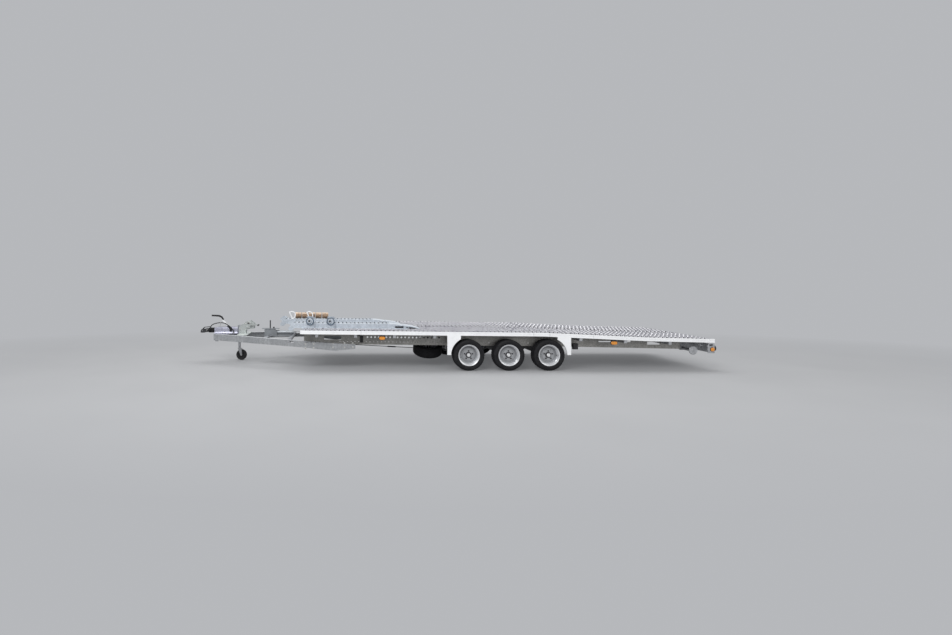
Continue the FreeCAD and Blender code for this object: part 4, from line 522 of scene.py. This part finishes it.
def mouth(verts, faces, marks, x, y, rise):
    """One louvre pressed up out of the sheet, its dark mouth towards the left side."""
    start = len(verts)
    count = MOUTH_STEPS + 1
    for depth, share in MOUTH_RINGS:
        for k in range(count):
            a = math.pi * k / MOUTH_STEPS
            px = x + MOUTH_HALF * (1 - MOUTH_TAPER + MOUTH_TAPER * share) * math.cos(a)
            verts.append((px, y + depth, rise(px) - SUNK + MOUTH_HEIGHT * share * math.sin(a)))
    inner = len(verts)
    for k in range(count):
        a = math.pi * k / MOUTH_STEPS
        px = x + INNER_HALF * MOUTH_HALF * math.cos(a)
        verts.append((px, y - SUNK, rise(px) - SUNK + INNER_HEIGHT * MOUTH_HEIGHT * math.sin(a)))
    join(faces, start, start + count, count, closed=False)
    join(faces, start + count, start + 2 * count, count, closed=False)
    for k in range(MOUTH_STEPS):
        faces.append((start + k, inner + k, inner + k + 1, start + k + 1))
    marks += [SHEET] * (3 * MOUTH_STEPS)
    faces.append(tuple(range(inner, inner + count)))
    marks.append(HOLE)


PLANKS = 6
PLANK_ROWS = 6
LEFT_STAGGER = (0, 0.5)
RIGHT_STAGGER = (0, 1 / 3, 2 / 3)
MOUTH_ROWS = ((-0.985, 0.0), (-0.127, 0.5), (0.117, 0.0), (0.965, 0.5))
ROW_CLEAR = 0.028
FIRST_BUMP = 0.05
LAST_BUMP = 0.03
BARE_ENDS = 0.06
BUMP_BEND_CLEAR = 0.018
MOUTH_BEND_CLEAR = 0.02


def bump_places(shift, clear):
    """X of the bumps of one row of the bed, moved on by a share of the pitch."""
    low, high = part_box("deck")
    columns = int((high.x - low.x - BARE_ENDS) / BUMP_PITCH)
    for column in range(columns):
        x = low.x + FIRST_BUMP + (column + shift) * BUMP_PITCH
        if abs(x - BEND_X) > clear and x < high.x - LAST_BUMP:
            yield x


def deck_bumps():
    low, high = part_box("deck")
    plank = (high.y - low.y) / PLANKS
    for i in range(PLANKS):
        verts, faces, marks = [], [], []
        stagger = LEFT_STAGGER if i < PLANKS / 2 else RIGHT_STAGGER
        for row in range(PLANK_ROWS):
            y = low.y + plank * (i + (row + 0.5) / PLANK_ROWS)
            if min(abs(y - louvres) for louvres, shift in MOUTH_ROWS) < ROW_CLEAR:
                continue
            for x in bump_places(stagger[row % len(stagger)], BUMP_BEND_CLEAR):
                bump(verts, faces, marks, x, y, deck_top)
        add(f"deck_bumps_{i}", verts, faces, DECK, smooth=True, marks=marks,
            mats=(DARK_HOLE, DECK_FOOT_SHADE, DECK_BASE))


def deck_louvres():
    verts, faces, marks = [], [], []
    for y, shift in MOUTH_ROWS:
        for x in bump_places(shift, MOUTH_BEND_CLEAR):
            mouth(verts, faces, marks, x, y, deck_top)
    add("deck_louvres", verts, faces, DECK, marks=marks, mats=(DARK_HOLE,))


deck_bumps()
deck_louvres()

RAMP_ROWS = 5
RAMP_WIDTH = 0.330
RAMP_LINE = 0.440
RAMP_RISE = 0.0853
RAMP_AHEAD = {"left": 0.215, "right": 0.450}
RAMP_LENGTH = 2.3
RAMP_FOOT = 0.465
RAMP_HEAD = 0.09
RAMP_FIRST_BUMP = 0.085
RAMP_MOUTHS = (-0.03, 0.03)
STOW_CLEAR = 0.02


def ramp_top(x):
    """Height of a stowed ramp's flat top along X."""
    return deck_top(x) + RAMP_RISE


def covered(sign, x, y):
    """Whether something stowed on the right ramp covers a place."""
    if sign < 0:
        return False
    for node in ("strap_rolls", "stow_hoops"):
        low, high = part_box(node)
        within = low.x - STOW_CLEAR < x < high.x + STOW_CLEAR
        if within and low.y - STOW_CLEAR < y < high.y + STOW_CLEAR:
            return True
    return False


def ramp_bumps():
    columns = int((RAMP_LENGTH - RAMP_FOOT - RAMP_HEAD) / BUMP_PITCH)
    for side, sign in SIDES.items():
        verts, faces, marks = [], [], []
        start = BED_FRONT - RAMP_AHEAD[side] + RAMP_FIRST_BUMP
        for row in range(RAMP_ROWS):
            if row == RAMP_ROWS // 2:
                continue
            y = sign * RAMP_LINE + RAMP_WIDTH * ((row + 0.5) / RAMP_ROWS - 0.5)
            for column in range(columns):
                x = start + (column + 0.5 * (row % 2)) * BUMP_PITCH
                if not covered(sign, x, y):
                    bump(verts, faces, marks, x, y, ramp_top)
        for column in range(columns):
            x = start + column * BUMP_PITCH
            for offset in RAMP_MOUTHS:
                y = sign * RAMP_LINE + offset
                if not covered(sign, x, y):
                    mouth(verts, faces, marks, x, y, ramp_top)
        add(f"ramp_bumps_{side}", verts, faces, RAMP, smooth=True, marks=marks,
            mats=(DARK_HOLE, RAMP_TOP, RAMP_TOP))


ramp_bumps()

# Tyres: ribbed walls, a tread with four grooves, and cuts across it
TYRE_HALF = 0.0975
TREAD_STEPS = 240
WALL, SHOULDER, GROOVE, TREAD = range(4)
# Distance in from the tyre's widest point, radius, and what is there
TYRE_OUTLINE = (
    (0.0300, 0.1664, WALL), (0.0300, 0.1702, WALL), (0.0170, 0.1745, WALL), (0.0148, 0.1815, WALL),
    (0.0150, 0.1850, WALL), (0.0095, 0.1880, WALL), (0.0068, 0.1930, WALL), (0.0030, 0.2020, WALL),
    (0.0009, 0.2120, WALL), (0.0024, 0.2145, WALL), (0.0000, 0.2170, WALL), (0.0001, 0.2230, WALL),
    (0.0022, 0.2255, WALL), (0.0008, 0.2285, WALL), (0.0030, 0.2380, WALL), (0.0058, 0.2455, SHOULDER),
    (0.0098, 0.2530, SHOULDER), (0.0160, 0.2592, SHOULDER), (0.0260, 0.2614, SHOULDER),
    (0.0350, 0.2618, SHOULDER), (0.0352, 0.2556, GROOVE), (0.0430, 0.2556, GROOVE), (0.0432, 0.2622, TREAD),
    (0.0600, 0.2624, TREAD), (0.0700, 0.2625, TREAD), (0.0702, 0.2562, GROOVE), (0.0780, 0.2562, GROOVE),
    (0.0782, 0.2625, TREAD), (0.0880, 0.2625, TREAD),
)
SHOULDER_CUT = 0.0048
SHOULDER_EVERY = 6
SHOULDER_SHIFT = 3
TREAD_CUT = 0.0036
TREAD_EVERY = 8
TREAD_SHIFT = 2
UNCUT_HALF = 0.02
WHEEL_TURN = 0.11
SPARE_TILT = 20.0


def tyre_radius(step, y, radius, kind):
    """A point's radius, less where a cut crosses the shoulder or the tread."""
    left = y < 0
    if kind == SHOULDER and (step + SHOULDER_SHIFT * left) % SHOULDER_EVERY == 0:
        return radius - SHOULDER_CUT
    if kind == TREAD and UNCUT_HALF < abs(y) and (step + TREAD_SHIFT * left) % TREAD_EVERY == 0:
        return radius - TREAD_CUT
    return radius


def tyre_mesh():
    """One tyre about its own axis along Y."""
    half = [(TYRE_HALF - inset, radius, kind) for inset, radius, kind in TYRE_OUTLINE]
    rows = half + [(-y, radius, kind) for y, radius, kind in reversed(half)]
    verts, faces = [], []
    for step in range(TREAD_STEPS):
        a = math.tau * step / TREAD_STEPS
        for y, radius, kind in rows:
            r = tyre_radius(step, y, radius, kind)
            verts.append((r * math.cos(a), y, r * math.sin(a)))
    for step in range(TREAD_STEPS):
        after = (step + 1) % TREAD_STEPS
        join(faces, step * len(rows), after * len(rows), len(rows), closed=False)
    mesh = bpy.data.meshes.new("tyre")
    mesh.from_pydata(verts, [], faces)
    mesh.materials.append(TYRE)
    mesh.polygons.foreach_set("use_smooth", [True] * len(mesh.polygons))
    mesh.set_sharp_from_angle(angle=math.radians(38))
    mesh.update()
    return mesh


def tyres():
    mesh = tyre_mesh()
    spots = []
    for axle in AXLES:
        for side in SIDES:
            turn = Matrix.Rotation(WHEEL_TURN * len(spots), 4, "Y")
            spots.append((f"tyre_{axle}_{side}", f"wheel_{axle}_{side}", turn))
    spots.append(("spare_tyre", "chassis", Matrix.Rotation(math.radians(90 + SPARE_TILT), 4, "X")))
    for node, body, turn in spots:
        own = mesh.copy()
        own.transform(Matrix.Translation(middle(node)) @ turn)
        piece = place("tread_" + node, own, body)
        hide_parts(node)


tyres()

# Valves
VALVE_ANGLE = {"front": 72, "middle": -44, "rear": -4}
VALVE_RING = 0.148
VALVE_OUT = 0.030
VALVE_LEAN = 0.35
VALVE_SIDES = 12
VALVE_ROWS = ((0.0055, 0), (0.0055, 0.012), (0.004, 0.014), (0.004, 0.027),
              (0.0048, 0.028), (0.0048, 0.036), (0.003, 0.038))


def valves():
    for axle in AXLES:
        a = math.radians(VALVE_ANGLE[axle])
        out = Vector((math.cos(a), 0, math.sin(a)))
        for side, sign in SIDES.items():
            foot = middle(f"tyre_{axle}_{side}") + VALVE_RING * out + Vector((0, sign * VALVE_OUT, 0))
            lean = Vector((0, sign, 0)) - VALVE_LEAN * out
            verts, faces = [], []
            lathe(verts, faces, foot, lean, VALVE_ROWS, VALVE_SIDES)
            add(f"valve_{axle}_{side}", verts, faces, PLASTIC, f"wheel_{axle}_{side}")


valves()

# Bolts in the beams and in the drawbar
FRAME_BOLT = 0.0085
DRAWBAR_BOLT = 0.009
BEAM_FACE = 0.8
CROSS_MEMBERS = (-2.3, -1.643, -0.986, -0.33, 2.15, 2.9, 3.65)
CROSS_HALF = 0.025
CROSS_DROP = 0.085
CROSS_BOLTS = (-0.022, 0.022)
ARM_AHEAD = 0.095
ARM_BOLTS_AHEAD = 0.11
ARM_BOLTS = (-0.075, 0.075)
ARM_DROP = 0.2
DRAWBAR_BOLTS_X = (-2.47, -2.33, -2.0, -1.8, -1.66)
DRAWBAR_BOLTS = (-0.035, 0.035)
DRAWBAR_BOLTS_Z = 0.402
DRAWBAR_BOLTS_SLOPE = 0.02
DRAWBAR_BOLTS_FROM = -2.2


def frame_bolts():
    spots = []
    for x in CROSS_MEMBERS:
        z = deck_top(x + CROSS_HALF) - CROSS_DROP
        for sign in SIDES.values():
            spots += [((x + CROSS_HALF, sign * BEAM_FACE, z + dz), (0, sign, 0)) for dz in CROSS_BOLTS]
    for axle in AXLES:
        x = middle(f"tyre_{axle}_left").x - ARM_AHEAD
        z = deck_top(x) - ARM_DROP
        for sign in SIDES.values():
            spots += [((x + dx - ARM_BOLTS_AHEAD, sign * BEAM_FACE, z), (0, sign, 0)) for dx in ARM_BOLTS]
    bolts("frame_bolts", spots, FRAME_BOLT)


def drawbar_bolts():
    web = abs(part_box("drawbar_left")[0].y)
    spots = []
    for x in DRAWBAR_BOLTS_X:
        z = DRAWBAR_BOLTS_Z + DRAWBAR_BOLTS_SLOPE * (x - DRAWBAR_BOLTS_FROM)
        for sign in SIDES.values():
            spots += [((x, sign * web, z + dz), (0, sign, 0)) for dz in DRAWBAR_BOLTS]
    bolts("drawbar_bolts", spots, DRAWBAR_BOLT)


frame_bolts()
drawbar_bolts()

# Wheel clamps: a coated ring each, and a round head with a dark bore inside it
CLAMP_PITCH = 0.362
CLAMP_FROM_END = 0.070
CLAMP_FROM_TOP = 0.084
CLAMP_FALL = 0.0034
CLAMP_OUT = 0.003
CLAMP_RING = 0.062
CLAMP_SIDES = 48
SLEEVE_RADIUS = 0.0112
SLEEVE_STEPS = 12
HEAD_AHEAD = 0.012
HEAD_SIDES = 40
HEAD_ROWS = ((0.041, -0.004), (0.041, 0.006), (0.037, 0.010), (0.024, 0.012), (0.019, 0.010),
             (0.0185, 0.004))


def ring_rows(radius, thick, steps):
    """(radius, height) round the section of a ring."""
    angles = [math.tau * k / steps for k in range(steps)]
    return [(radius + thick * math.cos(a), thick * math.sin(a)) for a in angles]


def clamp_details():
    low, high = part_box("ring_clamps")
    for i in range(2):
        x = low.x + CLAMP_FROM_END + i * CLAMP_PITCH
        spot = Vector((x, (low.y + high.y) / 2 - CLAMP_OUT, high.z - CLAMP_FROM_TOP - CLAMP_FALL * i))
        verts, faces = [], []
        rows = ring_rows(CLAMP_RING, SLEEVE_RADIUS, SLEEVE_STEPS)
        lathe(verts, faces, spot, (0, -1, 0), rows, CLAMP_SIDES, closed=True)
        add(f"clamp_sleeve_{i}", verts, faces, SLEEVE, smooth=True)
        verts, faces = [], []
        head = spot - Vector((HEAD_AHEAD, 0, 0))
        lathe(verts, faces, head, (0, -1, 0), HEAD_ROWS, HEAD_SIDES)
        marks = [SHEET] * (len(faces) - 1) + [HOLE]
        add(f"clamp_head_{i}", verts, faces, CLAMP, marks=marks, mats=(DARK_HOLE,))


clamp_details()

# Rear props: the raised rim and hub of their round feet
PROP_SIDES = 48
PROP_ROWS = ((0.0718, 0.0), (0.0718, 0.003), (0.069, 0.0055), (0.064, 0.0055), (0.060, 0.0014),
             (0.024, 0.0006), (0.021, 0.004), (0.012, 0.005), (0.011, 0.0008))


def prop_feet():
    for side, sign in SIDES.items():
        low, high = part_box(f"prop_stand_{side}")
        face = low.y if sign < 0 else high.y
        spot = Vector(((low.x + high.x) / 2, face, (low.z + high.z) / 2))
        verts, faces = [], []
        lathe(verts, faces, spot, (0, sign, 0), PROP_ROWS, PROP_SIDES)
        add(f"prop_rim_{side}", verts, faces, GALV, body=f"prop_{side}")


prop_feet()

# Winch: bolts on its side plates and its gear cover, and the cover's dark bore
WINCH_BOLT = 0.0075
COVER_FROM_DRUM = 0.008
COVER_FACE = -0.063
COVER_BOLT_RING = 0.048
COVER_BOLT_DROP = 0.004
COVER_BOLT_ANGLES = (35, 155, 275)
PLATE_FACE = 0.047
PLATE_LOW_BOLTS = ((0.022, 0.092), (0.105, 0.100))
PLATE_TOP_BOLT = (0.030, 0.026)
BORE_BEHIND = 0.007
BORE_ABOVE = 0.030
BORE_SIDES = 32
BORE_ROWS = ((0.021, 0.0), (0.021, 0.004), (0.017, 0.006), (0.016, 0.002))


def winch_details():
    low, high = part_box("winch_drum")
    post_low, post_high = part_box("winch_post")
    cover_x = low.x + COVER_FROM_DRUM
    cover_z = (low.z + high.z) / 2
    spots = []
    for angle in COVER_BOLT_ANGLES:
        a = math.radians(angle)
        x = cover_x + COVER_BOLT_RING * math.cos(a)
        z = cover_z - COVER_BOLT_DROP + COVER_BOLT_RING * math.sin(a)
        spots.append(((x, COVER_FACE, z), (0, -1, 0)))
    for sign in SIDES.values():
        plate = sign * PLATE_FACE
        for back, up in PLATE_LOW_BOLTS:
            spots.append(((post_low.x + back, plate, post_low.z + up), (0, sign, 0)))
        ahead, down = PLATE_TOP_BOLT
        spots.append(((post_high.x - ahead, plate, cover_z - down), (0, sign, 0)))
    bolts("winch_bolts", spots, WINCH_BOLT)
    verts, faces = [], []
    bore = (cover_x + BORE_BEHIND, COVER_FACE, cover_z + BORE_ABOVE)
    lathe(verts, faces, bore, (0, -1, 0), BORE_ROWS, BORE_SIDES)
    marks = [SHEET] * (len(faces) - 1) + [HOLE]
    add("winch_bore", verts, faces, STEEL, marks=marks, mats=(DARK_HOLE,))


winch_details()

# Small brackets: corners of blocks, the path of a stay, and tabs as (name, X, width, depth)
BEAM_BRACKET = ((-1.532, 0.8006, 0.453), (-1.480, 0.822, 0.569))
BEAM_STAY = ((-1.60, -0.812, 0.574), (-1.56, -0.814, 0.570), (-1.515, -0.815, 0.560))
BEAM_STAY_RADIUS = 0.006
LAMP_PLATE = ((4.284, -1.030, 0.318), (4.290, -0.985, 0.487))
TABS = (("front", -4.162, 0.058, 0.044), ("rear", -3.912, 0.074, 0.022))
TAB_Y = (0.070, 0.078)
TAB_LAP = 0.006
THIN_EDGE = 0.002
ARM_FRONT = -4.21
ARM_UNDER = 0.4335
ARM_FALL = 0.0405


def frame_brackets():
    """A black bracket and its stay on the left beam, a lamp plate, and tabs under the drawbar's head."""
    block("beam_bracket", *BEAM_BRACKET, -1, PLASTIC, slot="dark_cast")
    rod("beam_stay", BEAM_STAY, BEAM_STAY_RADIUS, PLASTIC)
    block("lamp_plate", *LAMP_PLATE, -1, GALV, slot="galvanised", edge=THIN_EDGE)
    for name, x, wide, deep in TABS:
        under = ARM_UNDER - ARM_FALL * (x - ARM_FRONT)
        low = (x - wide / 2, TAB_Y[0], under - deep)
        high = (x + wide / 2, TAB_Y[1], under + TAB_LAP)
        block(f"drawbar_tab_{name}", low, high, -1, GALV, slot="galvanised", edge=THIN_EDGE)


frame_brackets()

# Lashing straps: each roll is two bands wound side by side
ROLLS = 5
ROLL_LENGTH = 0.118
ROLL_FRONT = -2.74
ROLL_LINE = 0.46
ROLL_RADIUS = 0.0615
ROLL_CORE = 0.012
ROLL_SEAT = 0.0626
ROLL_TURNS = 7.0
ROLL_STEPS = 168
BANDS = ((0.001, 0.058), (0.0605, 0.117))
BAND_THICK = 0.0034
BAND_LEAN = 0.0012
BAND_WAVE = 0.0009
BAND_PHASE = 0.8


def wound_band(verts, faces, centre, along_low, along_high, roll, band):
    """One band wound from its core outwards about X, leaning with the bed."""
    start = len(verts)
    tilt = Matrix.Rotation(math.atan(fall(0)), 3, "Y")
    lean = BAND_LEAN * math.sin(3.1 * roll + 2 * band)
    corners = ((along_low, 0), (along_low, BAND_THICK), (along_high, BAND_THICK), (along_high, 0))
    for step in range(ROLL_STEPS + 1):
        share = step / ROLL_STEPS
        a = math.tau * ROLL_TURNS * share + roll + band * BAND_PHASE
        radius = ROLL_CORE + (ROLL_RADIUS - ROLL_CORE) * share + BAND_WAVE * math.sin(5 * a + roll) * share
        for along, thick in corners:
            r = min(radius, ROLL_RADIUS) - thick
            spot = Vector((along + lean * math.sin(a), r * math.cos(a), r * math.sin(a)))
            verts.append(tuple(centre + tilt @ spot))
    for step in range(ROLL_STEPS):
        join(faces, start + 4 * step, start + 4 * step + 4, 4)
    for end in (start, start + 4 * ROLL_STEPS):
        faces.append(tuple(range(end, end + 4)))


def strap_rolls():
    low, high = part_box("strap_rolls")
    pitch = (high.x - low.x - ROLL_LENGTH) / (ROLLS - 1)
    for i in range(ROLLS):
        x = ROLL_FRONT + i * pitch
        centre = Vector((x, ROLL_LINE, ramp_top(x) + ROLL_SEAT))
        verts, faces = [], []
        for j, (along_low, along_high) in enumerate(BANDS):
            wound_band(verts, faces, centre, along_low, along_high, i, j)
        roll = add(f"strap_roll_{i}", verts, faces, STRAP, smooth=True)
        roll.data.set_sharp_from_angle(angle=math.radians(40))
        if i == 0:
            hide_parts("strap_rolls")


strap_rolls()

# Rear lamps: three a side, each a black ring with a domed and ribbed lens
LAMPS = ((0.09, RED, "tail"), (0.21, AMBER, "turn"), (0.33, CLEAR, "back"))
BED_HALF = 1.05
LAMP_SIDES = 40
DOME = 0.0165
DOME_STEPS = 9
DOME_RIB = 0.0008


def lamp_rows(deep):
    """(radius, height) of a lamp's ring and of its lens."""
    ring = [(0.048, 0), (0.048, deep - 0.015), (0.0465, deep - 0.011)]
    ring += [(0.042, deep - 0.011), (0.041, deep - 0.016)]
    glass = [(0.0412, deep - 0.019)]
    for k in range(DOME_STEPS):
        a = k / DOME_STEPS * math.pi / 2
        rib = DOME_RIB if k % 2 else 0
        glass.append((0.0405 * math.cos(a) + 0.0004, deep - DOME + DOME * math.sin(a) + rib))
    return ring, glass


def rear_lamps():
    low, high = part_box("rear_lamps")
    body_rows, glass_rows = lamp_rows(high.x - low.x)
    first = True
    for side, sign in SIDES.items():
        for inset, mat, label in LAMPS:
            spot = (low.x, sign * (BED_HALF - inset), (low.z + high.z) / 2)
            verts, faces = [], []
            lathe(verts, faces, spot, (1, 0, 0), body_rows, LAMP_SIDES)
            ring = add(f"lamp_body_{label}_{side[0]}", verts, faces, PLASTIC, smooth=True)
            ring.data.set_sharp_from_angle(angle=math.radians(35))
            verts, faces = [], []
            lathe(verts, faces, spot, (1, 0, 0), glass_rows, LAMP_SIDES)
            glass = add(f"lamp_glass_{label}_{side[0]}", verts, faces, mat, smooth=True)
            if first:
                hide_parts("rear_lamps")
                first = False


rear_lamps()

# Side lamps: two oblong ones a side under the rails, and a round one at each end of the lamp bar
MARKERS = (("f", -1.170), ("b", 2.730))
MARKER_HALF = 0.059
MARKER_HALF_HIGH = 0.031
MARKER_DEEP = 0.030
MARKER_Y = 1.016
RAIL_DEEP = 0.0603
HOOD_HALF = 0.047
HOOD_HIGH = 0.030
HOOD_Y = (1.017, 1.045)
MARKER_DROP = 0.024
END_LAMP = 0.038
END_LAMP_DEEP = 0.0155
END_LAMP_Y = 1.0305
END_LAMP_AHEAD = 0.040
END_LAMP_UP = 0.064
MARKER_SIDES = 36
MARKER_LIP = 0.12
# Part, material, size, the shares of the depth where it starts and ends, and its middle's swell
MARKER_PARTS = (("seat", PLASTIC, 1.0, 0.0003, 0.4, 0.0), ("glass", AMBER, 0.86, 0.4, 1.0, 0.02))


def oblong(half, half_high):
    """Points round an oblong with round ends, from its middle."""
    for k in range(MARKER_SIDES):
        a = math.tau * k / MARKER_SIDES
        push = math.copysign(half - half_high, math.cos(a)) if abs(math.cos(a)) > 0.001 else 0
        yield push + half_high * math.cos(a), half_high * math.sin(a)


def marker_mesh(spot, sign, outline, deep, size, start, end, swell):
    """Vertices and faces of one part of a side lamp."""
    verts, faces = [], []
    rows = ((1, start), (1, end - MARKER_LIP), (0.93, end), (0.5, end + swell))
    for share, depth in rows:
        for px, pz in outline:
            y = sign * (spot.y + min(depth, 1.0) * deep)
            verts.append((spot.x + size * share * px, y, spot.z + size * share * pz))
    for r in range(len(rows) - 1):
        join(faces, r * MARKER_SIDES, (r + 1) * MARKER_SIDES, MARKER_SIDES)
    last = (len(rows) - 1) * MARKER_SIDES
    faces.append(tuple(range(last, last + MARKER_SIDES)))
    return verts, faces


def side_markers():
    """Amber side lamps in black housings, in the place of the plain solids."""
    spots = []
    bar_low, bar_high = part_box("lamp_bar")
    for side, sign in SIDES.items():
        for letter, x in MARKERS:
            top = deck_top(x + MARKER_HALF) - RAIL_DEEP
            low = (x - HOOD_HALF, HOOD_Y[0], top - HOOD_HIGH)
            block(f"marker_hood_{side[0]}_{letter}", low, (x + HOOD_HALF, HOOD_Y[1], top), sign, PLASTIC)
            spot = Vector((x, MARKER_Y, top - MARKER_DROP - MARKER_HALF_HIGH))
            spots.append((sign, spot, list(oblong(MARKER_HALF, MARKER_HALF_HIGH)), MARKER_DEEP))
        spot = Vector((bar_high.x - END_LAMP_AHEAD, END_LAMP_Y, bar_low.z + END_LAMP_UP))
        spots.append((sign, spot, list(oblong(END_LAMP, END_LAMP)), END_LAMP_DEEP))
    first = True
    for n, (sign, spot, outline, deep) in enumerate(spots):
        for part, mat, size, start, end, swell in MARKER_PARTS:
            verts, faces = marker_mesh(spot, sign, outline, deep, size, start, end, swell)
            piece = add(f"marker_{part}_{n}", verts, faces, mat, smooth=True)
            piece.data.set_sharp_from_angle(angle=math.radians(40))
            if first:
                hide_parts("side_markers")
                first = False


side_markers()

# Stage: floor, world, lamps and camera
BACKDROP = (0.47, 0.48, 0.5, 1)
FLOOR_SIZE = 160
FLOOR_STRETCH = (0.5, 1, 1)
FADE_FROM = 2.4
FADE_TO = 6.5
FADE_LEAST = 0.2
WORLD_LEVEL = 0.67
# Name, place, size, power in watts, and the point that it faces
AREA_LAMPS = (
    ("key", (-5.5, -9.0, 7.5), (7, 4), 760, (-0.5, 0, 0.4)),
    ("top", (0.5, 1.5, 8.0), (12, 5), 450, (0.3, 0, 0.4)),
    ("fill", (6.5, -8.5, 3.2), (5, 3), 135, (1.5, 0, 0.4)),
)


def seen_rays(nodes, links):
    """1 for the rays by which the camera, gloss and glass see a surface."""
    path = nodes.new("ShaderNodeLightPath")
    seen = path.outputs["Is Camera Ray"]
    for ray in ("Is Glossy Ray", "Is Transmission Ray"):
        either = nodes.new("ShaderNodeMath")
        either.operation = "MAXIMUM"
        links.new(seen, either.inputs[0])
        links.new(path.outputs[ray], either.inputs[1])
        seen = either.outputs[0]
    return seen


def floor_distance(t):
    """Distance from the object's middle, with X counted half."""
    stretch = t.nodes.new("ShaderNodeVectorMath")
    stretch.operation = "MULTIPLY"
    stretch.inputs[1].default_value = FLOOR_STRETCH
    apart = t.nodes.new("ShaderNodeVectorMath")
    apart.operation = "LENGTH"
    t.links.new(t.coords.outputs["Object"], stretch.inputs[0])
    t.links.new(stretch.outputs[0], apart.inputs[0])
    return apart.outputs["Value"]


def make_floor():
    """A pale floor that keeps the shadow and fades into the backdrop's colour further out."""
    bpy.ops.mesh.primitive_plane_add(size=FLOOR_SIZE, location=(0, 0, 0))
    floor = bpy.context.object
    floor.name = "floor"
    t = Tree("floor_pale")
    clouds = t.noise(scale=0.7, detail=2)
    t.done(t.mix(t.span(clouds, 0.3, 0.7, 0, 1), (0.36, 0.365, 0.375), (0.385, 0.39, 0.4)), 0.7)
    t.shader.inputs["Specular IOR Level"].default_value = 0.2
    far = t.nodes.new("ShaderNodeEmission")
    far.inputs["Color"].default_value = BACKDROP
    fade = t.nodes.new("ShaderNodeMixShader")
    share = t.span(floor_distance(t), FADE_FROM, FADE_TO, FADE_LEAST, 1.0)
    t.put(fade.inputs[0], t.math("MULTIPLY", share, seen_rays(t.nodes, t.links)))
    t.links.new(t.shader.outputs[0], fade.inputs[1])
    t.links.new(far.outputs[0], fade.inputs[2])
    t.links.new(fade.outputs[0], t.nodes["Material Output"].inputs["Surface"])
    floor.data.materials.append(t.mat)


def make_world():
    """White light all round, seen as the backdrop's colour."""
    world = bpy.data.worlds.new("studio")
    bpy.context.scene.world = world
    world.use_nodes = True
    nodes = world.node_tree.nodes
    links = world.node_tree.links
    light = nodes["Background"]
    light.inputs["Color"].default_value = (1, 1, 1, 1)
    light.inputs["Strength"].default_value = WORLD_LEVEL
    back = nodes.new("ShaderNodeBackground")
    back.inputs["Color"].default_value = BACKDROP
    mix = nodes.new("ShaderNodeMixShader")
    links.new(seen_rays(nodes, links), mix.inputs[0])
    links.new(light.outputs[0], mix.inputs[1])
    links.new(back.outputs[0], mix.inputs[2])
    links.new(mix.outputs[0], nodes["World Output"].inputs[0])


def make_lamps():
    for name, spot, size, power, aim in AREA_LAMPS:
        lamp = bpy.data.lights.new(name, "AREA")
        lamp.shape = "RECTANGLE"
        lamp.size, lamp.size_y = size
        lamp.energy = power
        holder = bpy.data.objects.new(name, lamp)
        holder.location = spot
        holder.rotation_euler = (Vector(aim) - Vector(spot)).to_track_quat("-Z", "Y").to_euler()
        bpy.context.scene.collection.objects.link(holder)


def make_camera():
    """The photograph's camera: level, facing +Y, with the frame shifted to its crop."""
    cam = bpy.data.cameras.new("camera")
    cam.lens = 20.72
    cam.sensor_width = 36
    cam.shift_x = 0.146
    cam.shift_y = -0.0441
    cam.clip_end = 200
    eye = bpy.data.objects.new("camera", cam)
    eye.location = (-1.93, -10.25, 1.607)
    eye.rotation_euler = (math.pi / 2, 0, 0)
    bpy.context.scene.collection.objects.link(eye)
    bpy.context.scene.camera = eye
    bpy.context.scene.view_settings.view_transform = "Standard"


make_floor()
make_world()
make_lamps()
make_camera()
